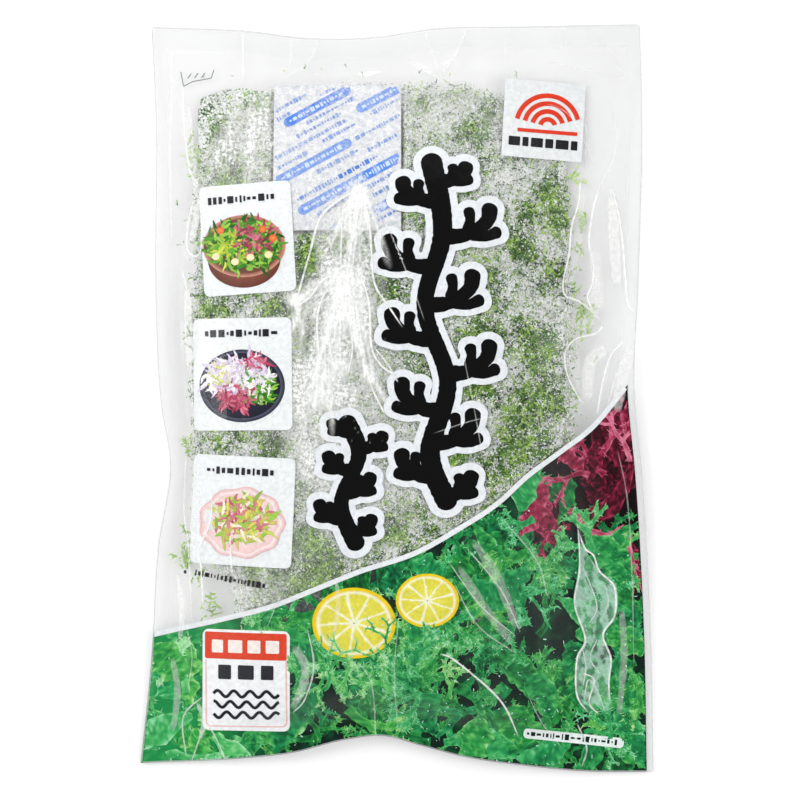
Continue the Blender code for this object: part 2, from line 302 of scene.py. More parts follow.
MAP_REACH, MAP_STEP = (108, 155), 0.5
lattice = np.meshgrid(*(np.arange(-reach, reach, MAP_STEP) for reach in MAP_REACH), indexing="ij")
film_map = HeightMap([-reach for reach in MAP_REACH], MAP_STEP,
                     pressed_film(*(g.ravel() for g in lattice)).reshape(lattice[0].shape))
film_height = film_map.at


def sheet_grid(name, cells, height):
    """A film: a grid fitted between the pouch's four edges and lifted to a height function."""
    bpy.ops.mesh.primitive_grid_add(x_subdivisions=cells[0], y_subdivisions=cells[1], size=2)
    film = bpy.context.object
    film.name = name
    co = np.zeros(len(film.data.vertices) * 3)
    film.data.vertices.foreach_get("co", co)
    u, v = (co.reshape(-1, 3)[:, k] / 2 + 0.5 for k in (0, 1))
    level, place = POUCH_LENGTH * v - POUCH_LENGTH / 2, POUCH_WIDTH * u - POUCH_WIDTH / 2
    left, right = along(LEFT_EDGE, level), along(RIGHT_EDGE, level)
    bottom, top = along(BOTTOM_EDGE, place), along(TOP_EDGE, place)
    x, y = left + (right - left) * u, bottom + (top - bottom) * v
    film.data.vertices.foreach_set("co", (np.stack([x, y, height(x, y)], 1) * MM).ravel())
    film.data.update()
    bpy.ops.object.shade_smooth()
    return film


def tree_of(name):
    """A new material with its node tree and a function that adds a node and sets its sockets."""
    mat = bpy.data.materials.new(name)
    mat.use_nodes = True
    nodes, links = mat.node_tree.nodes, mat.node_tree.links
    nodes.clear()

    def add(kind, settings=None, **sockets):
        node = nodes.new("ShaderNode" + kind)
        for key, value in (settings or {}).items():
            setattr(node, key, value)
        for key, value in sockets.items():
            socket = node.inputs[int(key[1:])] if key[0] == "_" else node.inputs[key.replace("_", " ")]
            if isinstance(value, bpy.types.NodeSocket):
                links.new(value, socket)
            else:
                socket.default_value = value
        return node

    def surface(shader):
        links.new(shader, nodes.new("ShaderNodeOutputMaterial").inputs["Surface"])
        return mat

    return add, surface


def keep(mesh, name, values):
    """Stores a number for each point of a mesh, for its material to read."""
    mesh.attributes.new(name, "FLOAT", "POINT").data.foreach_set("value", np.asarray(values, np.float32))


def flat_places(mesh):
    """The x and y of a mesh's points in mm."""
    co = np.zeros(len(mesh.vertices) * 3)
    mesh.vertices.foreach_get("co", co)
    return co.reshape(-1, 3)[:, 0] / MM, co.reshape(-1, 3)[:, 1] / MM


def film_material(name, haze, milky=(0.95, 0.95, 0.95)):
    """Clear laminate: see-through, with gloss that grows at a slant; haze is a share or an attribute."""
    add, surface = tree_of(name)
    place = add("TexCoord").outputs["Object"]
    crinkle = add("TexNoise", Vector=place, Scale=420.0, Detail=3.0, Roughness=0.6)
    bump = add("Bump", Strength=0.10, Distance=0.0004, Height=crinkle.outputs["Fac"])
    clear = add("BsdfTransparent", Color=(0.98, 0.98, 0.98, 1))
    gloss = add("BsdfGlossy", Color=(1, 1, 1, 1), Roughness=0.05, Normal=bump.outputs["Normal"])
    milk = add("BsdfDiffuse", Color=(*milky, 1))
    share = add("Attribute", {"attribute_name": haze}).outputs["Fac"] if isinstance(haze, str) else haze
    body = add("MixShader", _0=share, _1=clear.outputs[0], _2=milk.outputs[0])
    slant = add("LayerWeight", Blend=0.5, Normal=bump.outputs["Normal"])
    steep = add("Math", {"operation": "POWER"}, _0=slant.outputs["Facing"], _1=5.0)
    shine = add("Math", {"operation": "MULTIPLY_ADD"}, _0=steep.outputs[0], _1=0.85, _2=0.032)
    return surface(add("MixShader", _0=shine.outputs[0], _1=body.outputs[0],
                       _2=gloss.outputs[0]).outputs[0])


front_film = sheet_grid("front_film_sheet", FILM_GRID, film_height)
front_film.data.materials.append(film_material("clear film", 0.003))
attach(front_film, "root")
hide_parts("front_film")

# ---------------------------------------------------------------------------------------------
# Moisture: brine that clouds the inside of the front film in soft patches. The real one is a wet
# bloom on the film, drawn here as a thin sheet behind the print of the window.
# Clouded places: centre, reach across and along in mm, and how milky
FOG = [(-20, 44, 17, 30, 0.80), (-14, 76, 8, 9, 0.4), (-33, 6, 16, 18, 0.84), (-8, 122, 60, 7, 0.18),
       (-24, 95, 25, 32, 0.16), (-63, 106, 20, 20, 0.62), (-76, 110, 8, 16, 0.3), (28, 44, 12, 16, 0.08),
       (-28, -26, 15, 24, 0.56), (-2, -40, 10, 14, 0.2), (24, 110, 34, 16, 0.15), (36, -76, 9, 18, 0.16),
       (-60, -134, 16, 7, 0.14), (-62, -76, 18, 9, 0.34), (-48, -70, 30, 20, 0.12), (-74, -136, 7, 9, 0.3),
       (-35, 55, 4, 10, -0.5), (-6, 62, 4, 7, -0.5), (-1, 40, 5, 12, -0.4), (-22, 25, 3, 5, -0.2),
       (-37, 20, 4, 8, -0.4), (-14, 8, 3, 5, -0.4), (-32, -3, 4, 6, -0.35)]


def middle_and_half(node):
    """Middle and half size of a solid's box, across and along, in mm."""
    low, high = (np.array(c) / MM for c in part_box(node))
    return (low + high)[:2] / 2, (high - low)[:2] / 2


block_middle, block_half = middle_and_half("seaweed_block")
BLOCK_ROUNDNESS = 3.6            # power of the block's rounded-square outline


def lobe(u, v):
    """How far the block's outline swells or draws in along a direction: a full corner and a notch."""
    turn = np.arctan2(v, u)
    return 0.034 * np.exp(-((turn - 2.45) / 0.28) ** 2) - 0.17 * np.exp(-((turn + 2.47) / 0.20) ** 2)


def outline_scale(x, y):
    """How far out a place is in the block: 1 on its outline."""
    u, v = (x - block_middle[0]) / block_half[0], (y - block_middle[1]) / block_half[1]
    square = (np.abs(u) ** BLOCK_ROUNDNESS + np.abs(v) ** BLOCK_ROUNDNESS) ** (1 / BLOCK_ROUNDNESS)
    return square / (1 + lobe(u, v))


def spot(x, y, across, along_y, reach_x, reach_y):
    """A soft spot: 1 at its centre, fading over its reach."""
    return np.exp(-((x - across) / reach_x) ** 2 - ((y - along_y) / reach_y) ** 2)


def fog_at(x, y):
    """How cloudy the film is at places in mm: soft spots with streaked edges, over the block only."""
    wisp = 1 + 0.7 * noise2(x / 5, y / 17, 41) + 0.3 * noise2(x / 2.2, y / 6, 42)
    spots = sum(most * spot(x, y, *place) for *place, most in FOG)
    return np.clip(spots * wisp * ease((1.03 - outline_scale(x, y)) / 0.06), 0, 0.9)


def moisture_material(name, share, least, most, colour=(0.97, 0.98, 0.96)):
    """A milky film: none where the share attribute is 0; specks and wisps lie between least and most."""
    add, surface = tree_of(name)
    amount = add("Attribute", {"attribute_name": share}).outputs["Fac"]
    specks = add("TexNoise", Vector=add("TexCoord").outputs["Object"], Scale=760.0, Detail=6.0,
                 Roughness=0.75)
    broken = add("MapRange", _0=specks.outputs["Fac"], _1=0.44, _2=0.58, _3=least, _4=most)
    milk = add("Math", {"operation": "MULTIPLY", "use_clamp": True}, _0=amount, _1=broken.outputs["Result"])
    return surface(add("MixShader", _0=milk.outputs[0], _1=add("BsdfTransparent").outputs[0],
                       _2=add("BsdfDiffuse", Color=(*colour, 1)).outputs[0]).outputs[0])


MOISTURE_DEPTH = 0.47            # depth under the front film
moisture = sheet_grid("film_moisture", (150, 220), lambda x, y: film_height(x, y) - MOISTURE_DEPTH)
keep(moisture.data, "fog", fog_at(*flat_places(moisture.data)))
moisture.data.materials.append(moisture_material("salty moisture", "fog", 0.45, 1.5))
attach(moisture, "root")

# ---------------------------------------------------------------------------------------------
# Back film: the same laminate, flat on the table under the load and rising to the weld.
back_surface = height_of("back_film", -1, 8)
APART = 0.15                # least gap in mm between the two films


def back_height(x, y):
    """Height in mm of the back film's inside, which stays below the front film."""
    x, y = np.asarray(x, float), np.asarray(y, float)
    flat = back_surface.at(x, y)
    slack = free_of_weld(x, y, SLACK_REACH)
    lift = np.clip(flat / 1.5, 0, 1)
    weld = -0.15 + 0.18 * noise2(x / 9, y / 30, 15)
    height = flat + FILM_DRAWN + (1 - slack) * weld + lift * slack * 0.35 * noise2(x / 14, y / 30, 17)
    return np.minimum(height, film_height(x, y) - APART)


back_film = sheet_grid("back_film_sheet", (130, 190), back_height)
back_film.data.flip_normals()
x, y = flat_places(back_film.data)
# Haze: thicker at the welds and in soft clouds; its rise to the right is painted shade, its fall to the
# left painted light
haze_and_side_shade = (0.12 + 0.11 * ease((x - 58) / 30) - 0.06 * ease((-60 - x) / 20)
          + 0.12 * (1 - free_of_weld(x, y, 1)) + 0.05 * noise2(x / 13, y / 26, 18))
keep(back_film.data, "haze", haze_and_side_shade)
back_film.data.materials.append(film_material("hazy back film", "haze", (0.86, 0.87, 0.88)))
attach(back_film, "root")
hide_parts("back_film")

# ---------------------------------------------------------------------------------------------
# Seaweed block: a pressed tangle of salted fronds. A lumpy bed carries the colour of what lies
# deep in it, and thousands of short curled fronds and salt grains lie on it and under it.
sachet_middle, sachet_half = middle_and_half("sachet")


# Drifts of salt and bare green patches: centre, reach across and along in mm, and salt gained or lost
DRIFTS = [(34, 98, 7, 6, -0.6), (64, 81, 8, 9, -0.8), (49, 75, 7, 5, -0.6), (36, 68, 5, 3, -0.5),
          (50, 59, 7, 3, -0.8), (64, 69, 4, 7, -0.5), (38, 43, 5, 7, -0.5), (63, 48, 6, 7, -0.6),
          (30, 25, 7, 4, -0.7), (57, 20, 8, 9, -0.8), (31, 7, 8, 5, -0.7), (59, 0, 8, 9, -0.5),
          (46, -11, 12, 12, -0.4), (-72, 111, 8, 9, -0.8), (-53, 116, 7, 4, -0.8), (-69, 92, 6, 9, -1.0),
          (-74, 35, 6, 4, -0.7), (-50, 36, 8, 4, -0.7), (-34, 54, 6, 10, -0.5), (-6, 49, 6, 17, -0.6),
          (-36, 23, 5, 7, -0.5), (-31, -4, 4, 7, -0.5), (-30, -68, 9, 9, -0.8), (-54, -73, 12, 5, -0.7),
          (-35, -57, 5, 6, -0.6), (-1, -54, 5, 6, -0.6), (-47, -19, 4, 4, -0.6), (48, 86, 8, 6, 0.7),
          (38, 60, 6, 6, 0.6), (53, 45, 10, 12, 0.3), (37, 13, 9, 6, 0.6), (31, -33, 5, 8, 0.6),
          (62, -10, 10, 12, 0.2), (-57, 106, 7, 7, 0.8), (-21, 39, 15, 12, 0.8), (-30, 6, 7, 7, 0.8),
          (-62, 34, 6, 4, 0.5), (-20, -70, 8, 5, 0.4), (8, 118, 4, 4, -0.6), (18, 121, 5, 3, -0.5),
          (27, 106, 4, 5, -0.5), (35, 115, 5, 6, -0.7), (15, 105, 4, 3, -0.4), (21, 113, 7, 5, 0.9),
          (45, 82, 6, 6, 0.5), (60, 38, 10, 10, 0.4), (26, 96, 9, 5, 0.8), (8, 109, 6, 6, 0.9),
          (40, 104, 4, 8, 0.5), (-26, -30, 16, 20, 0.35), (2, -20, 12, 26, 0.3), (-68, -90, 14, 14, 0.2),
          (6, 96, 10, 8, 0.3), (-60, 92, 5, 6, 0.5)]


def salt_share(x, y):
    """How much salt lies at a place, from 0 to 1: drifts a few centimetres across, broken edges."""
    broad = noise2(x / 15, y / 17, 21) + 0.7 * noise2(x / 7, y / 8, 22)
    fine = 0.6 * noise2(x / 2.8, y / 3.0, 23)
    drift = sum(much * spot(x, y, *place) for *place, much in DRIFTS)
    rim = ease((outline_scale(x, y) - 0.88) / 0.10)
    return ease(0.60 + 0.58 * broad + 0.85 * fine + 1.35 * drift + 0.45 * rim)


def from_sachet_middle(x, y):
    """How far out places are across and along the sachet: 1 on its edges."""
    return np.abs(x - sachet_middle[0]) / sachet_half[0], np.abs(y - sachet_middle[1]) / sachet_half[1]


def under_sachet(x, y):
    """1 below the sachet and 0 a little outside it."""
    u, v = from_sachet_middle(x, y)
    return ease((1.05 - np.maximum(u, v)) / 0.07)


def bed_height(x, y):
    """Height in mm of the lumpy bed, a little below the film and well below the sachet."""
    lumps = np.abs(noise2(x / 7.5, y / 7.0, 31)) + 0.6 * np.abs(noise2(x / 3.1, y / 3.3, 32))
    top = film_height(x, y) - 0.9 - 1.5 * np.clip(lumps, 0, 1.2)
    return top - 4.2 * under_sachet(x, y)


def two_faced(name, cells, place, top, bottom):
    """A closed body from a grid: its face and its underside share an outline, each with its height."""
    bpy.ops.mesh.primitive_grid_add(x_subdivisions=cells[0], y_subdivisions=cells[1], size=2)
    body = bpy.context.object
    body.name = name
    u, v = (c * MM for c in flat_places(body.data))
    x, y = place(u, v)
    wall = body.modifiers.new("wall", "SOLIDIFY")
    wall.thickness = MM
    bpy.ops.object.modifier_apply(modifier="wall")
    upper = top(x, y, u, v)
    z = np.concatenate([upper, np.minimum(bottom(x, y), upper - 0.2)])
    body.data.vertices.foreach_set("co", (np.stack([np.tile(x, 2), np.tile(y, 2), z], 1) * MM).ravel())
    body.data.update()
    bpy.ops.object.shade_smooth()
    return body


def block_place(u, v):
    """Squeezes a square of places, -1 to 1, to the block's rounded and slightly lobed outline."""
    turn, rim = np.arctan2(v, u), np.maximum(np.abs(u), np.abs(v))
    lobes = -0.018 + 0.014 * noise2(4 + 2.6 * np.cos(turn), 4 + 2.6 * np.sin(turn), 33)
    lobes = lobes + lobe(u, v)
    scale = 1 + rim ** 3 * (lobes + 0.020 * noise2(20 + 11 * np.cos(turn), 20 + 11 * np.sin(turn), 34))
    return (block_middle[0] + block_half[0] * u * np.sqrt(1 - 0.13 * v ** 4) * scale,
            block_middle[1] + block_half[1] * v * np.sqrt(1 - 0.12 * u ** 4) * scale)


def bed_top(x, y, u, v):
    """Height in mm of the bed's face, rounded down at its rim."""
    low = back_height(x, y) + 0.4
    return low + (bed_height(x, y) - low) * ease((1 - np.maximum(np.abs(u), np.abs(v))) / 0.07 + 0.25)


def bed_under(x, y):
    """Height in mm of the bed's underside, lumpy where it rests on the back film."""
    return back_height(x, y) + 0.25 + 0.5 * np.abs(noise2(x / 5, y / 5, 35))


def salted(add, green, place, least, most):
    """Adds salt to a green: each small cell turns white by a chance that the salt attribute gives."""
    share = add("Attribute", {"attribute_name": "salt"}).outputs["Fac"]
    colour = green
    for scale in (1300.0, 2300.0):
        drawn = add("SeparateColor", _0=add("TexVoronoi", Vector=place, Scale=scale).outputs["Color"])
        limit = add("MapRange", _0=share, _1=0.0, _2=1.0, _3=least, _4=most)
        white = add("Math", {"operation": "LESS_THAN"}, _0=drawn.outputs[0], _1=limit.outputs["Result"])
        tone = add("Mix", {"data_type": "RGBA"}, _0=drawn.outputs[1], _6=(0.56, 0.58, 0.56, 1),
                   _7=(0.95, 0.96, 0.95, 1))
        colour = add("Mix", {"data_type": "RGBA"}, _0=white.outputs[0], _6=colour,
                     _7=tone.outputs[2]).outputs[2]
    return colour


def weed_material(name):
    """Pressed seaweed crusted with salt: greens from deep to yellow, peppered with white grains."""
    add, surface = tree_of(name)
    place = add("TexCoord").outputs["Object"]
    broad = add("TexNoise", Vector=place, Scale=70.0, Detail=3.0, Roughness=0.6)
    strands = add("TexNoise", Vector=place, Scale=800.0, Detail=4.0, Roughness=0.75, Distortion=1.2)
    mixed = add("Math", {"operation": "MULTIPLY_ADD"}, _0=broad.outputs["Fac"], _1=0.5,
                _2=strands.outputs["Fac"])
    green = add("ValToRGB", Fac=mixed.outputs[0])
    ramp = green.color_ramp
    ramp.elements[0].position, ramp.elements[0].color = 0.62, (0.008, 0.025, 0.010, 1)
    ramp.elements[1].position, ramp.elements[1].color = 0.92, (0.48, 0.69, 0.22, 1)
    for position, colour in ((0.71, (0.035, 0.10, 0.02, 1)), (0.80, (0.14, 0.29, 0.04, 1))):
        ramp.elements.new(position).color = colour
    bump = add("Bump", Strength=0.4, Distance=0.0004, Height=strands.outputs["Fac"])
    shader = add("BsdfPrincipled", Base_Color=salted(add, green.outputs["Color"], place, 0.06, 0.66),
                 Roughness=0.55, Normal=bump.outputs["Normal"])
    return surface(shader.outputs[0])


bed = two_faced("seaweed_bed", (150, 240), block_place, bed_top, bed_under)
keep(bed.data, "salt", salt_share(*flat_places(bed.data)))
bed.data.materials.append(weed_material("pressed salted seaweed"))
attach(bed, "root")
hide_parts("seaweed_block")


def joined(name, parts, material, smooth=True):
    """One mesh from many (points in mm, faces, shades) parts; a shade is a number or a colour."""
    points = np.concatenate([part[0] for part in parts])
    shades = np.concatenate([part[2] for part in parts])
    counts = np.cumsum([0] + [len(part[0]) for part in parts])
    faces = np.concatenate([part[1] + start for part, start in zip(parts, counts)])
    mesh = bpy.data.meshes.new(name)
    mesh.from_pydata(points * MM, [], faces)
    if shades.ndim == 1:
        keep(mesh, "shade", shades)
    else:
        tints = np.column_stack([shades, np.ones(len(shades))]).astype(np.float32)
        mesh.attributes.new("tint", "FLOAT_COLOR", "POINT").data.foreach_set("color", tints.ravel())
    if smooth:
        mesh.shade_smooth()
    piece = bpy.data.objects.new(name, mesh)
    bpy.context.scene.collection.objects.link(piece)
    mesh.materials.append(material)
    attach(piece, "root")
    return piece


def lattice_quads(rows, columns):
    """Quads between the points of a lattice that is stored row after row."""
    i, j = np.meshgrid(np.arange(rows - 1), np.arange(columns - 1), indexing="ij")
    a = (i * columns + j).ravel()
    return np.stack([a, a + 1, a + columns + 1, a + columns], 1)


def strip(path, widths, columns):
    """A flat blade along a path in mm: its points, its quads, and each point's side from -1 to 1."""
    path, widths = np.asarray(path, float), np.asarray(widths, float)
    ahead = np.gradient(path, axis=0)
    ahead /= np.maximum(np.hypot(ahead[:, 0], ahead[:, 1]), 1e-9)[:, None]
    across = np.stack([-ahead[:, 1], ahead[:, 0]], 1)
    side = np.linspace(-1, 1, columns)
    points = np.stack([path + across * (widths * s)[:, None] for s in side], 1).reshape(-1, 2)
    return points, lattice_quads(len(path), columns), np.tile(side, len(path))


def curl_path(rng, start, heading, length, steps, bend):
    """A wandering line in mm from a start point, for a frond's axis."""
    step = length / steps
    turns = rng.normal(0, bend, steps).cumsum() * 0.35 + rng.uniform(-bend, bend) * np.arange(steps) / steps
    angles = heading + turns
    moves = np.stack([np.cos(angles), np.sin(angles)], 1) * step
    return np.concatenate([[start], start + moves.cumsum(0)])


def shred_template(rng):
    """A shred of frond a few mm long with two or three side tips: (x, y, z) in mm, quads, shades."""
    axis = curl_path(rng, np.zeros(2), 0.0, rng.uniform(2.2, 4.0), 3, 0.7)
    pieces = [(axis, 0.46)]
    for k in rng.permutation([1, 2, 3])[:rng.integers(1, 4)]:
        turn = rng.choice([-1, 1]) * rng.uniform(0.6, 1.3)
        pieces.append((curl_path(rng, axis[k], turn, rng.uniform(0.8, 1.6), 1, 0.5), 0.36))
    points, faces, shades, count = [], [], [], 0
    for path, width in pieces:
        flat, quads, side = strip(path, np.linspace(1, 0.5, len(path)) * width, 2)
        lift = 0.25 * np.sin(flat[:, 0] * 1.6 + rng.uniform(0, 6)) + 0.2 * side * width
        points.append(np.column_stack([flat, lift]))
        faces.append(quads + count)
        shades.append(0.05 * flat[:, 0])
        count += len(flat)
    return np.concatenate(points), np.concatenate(faces), np.concatenate(shades)


def leafy_material(name, dark, middle, light, roughness):
    """Gelatinous frond: its own shade picks the green, and salt clings to it."""
    add, surface = tree_of(name)
    place = add("TexCoord").outputs["Object"]
    tone = add("Attribute", {"attribute_name": "shade"})
    mottle = add("TexNoise", Vector=place, Scale=900.0, Detail=2.0)
    mixed = add("Math", {"operation": "MULTIPLY_ADD"}, _0=mottle.outputs["Fac"], _1=0.35,
                _2=tone.outputs["Fac"])
    ramp = add("ValToRGB", Fac=mixed.outputs[0])
    ramp.color_ramp.elements[0].position, ramp.color_ramp.elements[0].color = 0.15, (*dark, 1)
    ramp.color_ramp.elements[1].position, ramp.color_ramp.elements[1].color = 1.0, (*light, 1)
    ramp.color_ramp.elements.new(0.6).color = (*middle, 1)
    shader = add("BsdfPrincipled", Base_Color=salted(add, ramp.outputs["Color"], place, 0.04, 0.34),
                 Roughness=roughness)
    return surface(shader.outputs[0])


CLEAR_OF_FILM = 0.52             # least depth in mm of loose bits under the front film


def scatter(templates, places, rng, sizes, tilt, height, shades):
    """Copies of templates at places in mm, each turned, sized, tipped and laid on a height."""
    parts = []
    order = rng.integers(0, len(templates), len(places))
    for k, (points, faces, tones) in enumerate(templates):
        chosen = np.nonzero(order == k)[0]
        turn, tip = rng.uniform(0, 2 * np.pi, len(chosen)), rng.normal(0, tilt, (2, len(chosen)))
        size = sizes[chosen][:, None]
        x, y, z = (points[:, axis][None, :] * size for axis in (0, 1, 2))
        far_x = x * np.cos(turn)[:, None] - y * np.sin(turn)[:, None]
        far_y = x * np.sin(turn)[:, None] + y * np.cos(turn)[:, None]
        far_z = z + x * tip[0][:, None] + y * tip[1][:, None]
        px, py = places[chosen, 0][:, None] + far_x, places[chosen, 1][:, None] + far_y
        pz = height(px.ravel(), py.ravel()).reshape(px.shape) + far_z
        pz = np.clip(pz, back_height(px.ravel(), py.ravel()).reshape(px.shape) + 0.1,
                     film_height(px.ravel(), py.ravel()).reshape(px.shape) - CLEAR_OF_FILM)
        total = len(chosen) * len(points)
        moved = faces[None] + (np.arange(len(chosen)) * len(points))[:, None, None]
        shade = np.broadcast_to(tones, (len(chosen), len(points))) + shades[chosen][:, None]
        parts.append((np.stack([px, py, pz], 2).reshape(total, 3), moved.reshape(-1, faces.shape[1]),
                      shade.reshape(-1)))
    return parts


def places_on_block(rng, count, reach, likely):
    """Random places in mm on the block's top, kept by a chance that depends on the place."""
    found = np.zeros((0, 2))
    while len(found) < count:
        tries = block_middle + block_half * rng.uniform(-1, 1, (count * 2, 2))
        inside = outline_scale(tries[:, 0], tries[:, 1]) < reach
        chance = likely(tries[:, 0], tries[:, 1]) * (1 - 0.98 * under_sachet(tries[:, 0], tries[:, 1]))
        found = np.concatenate([found, tries[inside & (rng.uniform(0, 1, len(tries)) < chance)]])
    return found[:count]


rng = np.random.default_rng(5)
shreds = [shred_template(rng) for _ in range(16)]
frond_green = leafy_material("salted green frond", (0.010, 0.034, 0.010), (0.09, 0.23, 0.026),
                             (0.38, 0.58, 0.11), 0.45)
FRONDS, FRONDS_UNDER, GRAINS = 10500, 5000, 20000  # in each mesh
for name, count, lie in (("fronds_lower", FRONDS, lambda x, y: bed_height(x, y) + 0.4),
                         ("fronds_upper", FRONDS, lambda x, y: bed_height(x, y) + 0.4),
                         ("fronds_under", FRONDS_UNDER, lambda x, y: bed_under(x, y) - 0.1)):
    spots = places_on_block(rng, count, 0.995, lambda x, y: 0.16 + 0.84 * (1 - salt_share(x, y)) ** 1.5)
    green = 0.36 + 0.36 * noise2(spots[:, 0] / 9, spots[:, 1] / 10, 51) + rng.normal(0, 0.28, count)
    parts = scatter(shreds, spots, rng, rng.uniform(0.45, 1.05, count), 0.15, lie, green)
    fronds = joined(name, parts, frond_green)
    keep(fronds.data, "salt", salt_share(*flat_places(fronds.data)))


def grain_template(rng):
    """A salt grain: a lopsided eight-sided crystal, its shade uniform."""
    tips = np.array([(1, 0, 0), (-1, 0, 0), (0, 1, 0), (0, -1, 0), (0, 0, 1), (0, 0, -1)], float)
    tips = tips * rng.uniform(0.7, 1.2, (6, 1)) + rng.normal(0, 0.12, (6, 3))
    faces = [(0, 2, 4), (2, 1, 4), (1, 3, 4), (3, 0, 4), (2, 0, 5), (1, 2, 5), (3, 1, 5), (0, 3, 5)]
    return tips, np.array(faces), np.zeros(6)


def salt_material(name):
    """Coarse salt: white, slightly glassy grains."""
    add, surface = tree_of(name)
    tone = add("Attribute", {"attribute_name": "shade"})
    colour = add("Mix", {"data_type": "RGBA"}, _0=tone.outputs["Fac"], _6=(0.62, 0.64, 0.62, 1),
                 _7=(0.95, 0.96, 0.95, 1))
    shader = add("BsdfPrincipled", Base_Color=colour.outputs[2], Roughness=0.35)
    return surface(shader.outputs[0])


salt_white = salt_material("coarse salt")
grains = [grain_template(rng) for _ in range(6)]
for name in ("salt_lower", "salt_upper"):
    spots = places_on_block(rng, GRAINS, 1.0, lambda x, y: 0.22 + 0.78 * salt_share(x, y))
    parts = scatter(grains, spots, rng, rng.uniform(0.12, 0.36, GRAINS), 0.0,
                    lambda x, y: bed_height(x, y) + 0.35, rng.uniform(0, 1, GRAINS))
    joined(name, parts, salt_white, smooth=False)
TRIES = 60000                    # random places, of which those round the block's rim are kept
tries = block_middle + block_half * rng.uniform(-1.12, 1.12, (TRIES, 2))
x, y = tries.T
beyond = outline_scale(x, y) - 0.95
tries = tries[(beyond > 0) & (rng.uniform(0, 1, TRIES) < np.exp(-np.maximum(beyond, 0) / 0.035))
              & (free_of_weld(x, y, 4) > 0.9) & (under_sachet(x, y - 4) == 0)]
dust = scatter(grains, tries, rng, rng.uniform(0.08, 0.26, len(tries)), 0.0,
               lambda x, y: film_height(x, y) - 0.5, rng.uniform(0.4, 1, len(tries)))
joined("salt_dust", dust, salt_white, smooth=False)
wisps = scatter(shreds, tries[::6], rng, rng.uniform(0.3, 0.7, len(tries[::6])), 0.1,
                lambda x, y: film_height(x, y) - 0.9, rng.uniform(0.2, 0.9, len(tries[::6])))
wisps = joined("edge_wisps", wisps, frond_green)
keep(wisps.data, "salt", np.full(len(wisps.data.vertices), 0.5))

# ---------------------------------------------------------------------------------------------
# Loose sprigs: forked, frilled fronds that slipped off the block into the slack of the pouch.
FRINGE = 1.2                     # usual length of a frond's fringing tips


def frilled(path, widths, rng):
    """A frond blade fringed with small curved, often forked tips: (x, y) parts in mm and tones."""
    flat, quads, side = strip(path, widths, 3)
    parts = [(flat, quads, 0.25 * (1 - np.abs(side)))]
    ahead = np.gradient(path, axis=0)
    heading = np.arctan2(ahead[:, 1], ahead[:, 0])
    taper = np.array([0.30, 0.22, 0.14, 0.05]) * FRINGE
    for k in range(1, len(path) - 1):
        for hand in (-1, 1):
            reach = FRINGE * rng.choice([0.35, 0.7, 1.1, 1.7]) * rng.uniform(0.7, 1.3)
            out = heading[k] + hand * np.pi / 2
            root = path[k] + 0.8 * widths[k] * np.array([np.cos(out), np.sin(out)])
            aim = heading[k] + hand * rng.uniform(0.5, 1.5)
            tips = [(curl_path(rng, root, aim, reach, 3, 0.8), taper)]
            if reach > FRINGE:
                twig = curl_path(rng, tips[0][0][1], aim + rng.choice([-0.8, 0.8]), reach * 0.5, 3, 0.5)
                tips.append((twig, taper * 0.7))
            for tip, width in tips:
                flat, quads, _ = strip(tip, width, 2)
                parts.append((flat, quads, np.linspace(0.05, 0.45, 4).repeat(2)))
    return parts


sprig_green = leafy_material("bright sprig", (0.10, 0.28, 0.03), (0.34, 0.60, 0.10), (0.62, 0.80, 0.30),
                             0.35)
for node in ("sprig_right_upper", "sprig_right_middle", "sprig_right_lower", "sprig_right_bottom",
             "sprig_left_middle", "sprig_left_bottom"):
    low, high = (np.array(c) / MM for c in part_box(node))
    middle, reach = (low + high) / 2, high - low
    sprig_rng = np.random.default_rng(len(node) + int(abs(middle[1])))
    root = np.array([middle[0], low[1]])
    stem = curl_path(sprig_rng, root, np.pi / 2, reach[1] * 0.6, 7, 0.10)
    parts = frilled(stem, np.linspace(0.55, 0.45, 8), sprig_rng)
    for fork in (-1, 1):
        arm = curl_path(sprig_rng, stem[3 + (fork > 0)], np.pi / 2 + fork * 0.42, reach[1] * 0.5, 7, 0.18)
        parts += frilled(arm, np.linspace(0.5, 0.2, 8), sprig_rng)
    solids = []
    for flat, quads, tone in parts:
        flat = np.clip(flat, low[:2], high[:2])
        lift = middle[2] + 0.18 * np.sin(flat[:, 0] * 1.7 + flat[:, 1])
        solids.append((np.column_stack([flat, lift]), quads, tone + 0.35))
    sprig = joined(node + "_frond", solids, sprig_green)
    keep(sprig.data, "salt", np.full(len(sprig.data.vertices), 0.35))
    wall = sprig.modifiers.new("wall", "SOLIDIFY")
    wall.thickness, wall.offset = 0.25 * MM, 0.0
    bpy.context.view_layer.objects.active = sprig
    bpy.ops.object.modifier_apply(modifier="wall")
    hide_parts(node)
# Knots of loose curls, seven curls to a knot
spots = np.repeat([(-83.5, -57), (-86, -65), (-78, -72), (-77, -80), (-74, -84), (71, 44), (74, 27),
                   (74, 34), (-82, 100), (-80, 92), (72, 88), (73, 60), (71, 4)], 7, axis=0)
spots = spots + sprig_rng.normal(0, 1.6, spots.shape)
curls = scatter(shreds, spots, sprig_rng, sprig_rng.uniform(0.6, 1.2, len(spots)), 0.1,
                lambda x, y: 0.5 * film_height(x, y) + 0.5 * back_height(x, y),
                sprig_rng.uniform(0.2, 0.7, len(spots)))
curls = joined("loose_curls", curls, sprig_green)
keep(curls.data, "salt", np.full(len(curls.data.vertices), 0.3))

# ---------------------------------------------------------------------------------------------
# Sachet: a paper packet of freshness powder laid on the seaweed. Its edges are crimped flat and
# its face carries slanting blue bars and rows, printed before it is cut from the roll.
sachet_top, sachet_bottom = height_of("sachet", 1, 3), height_of("sachet", -1, 3)


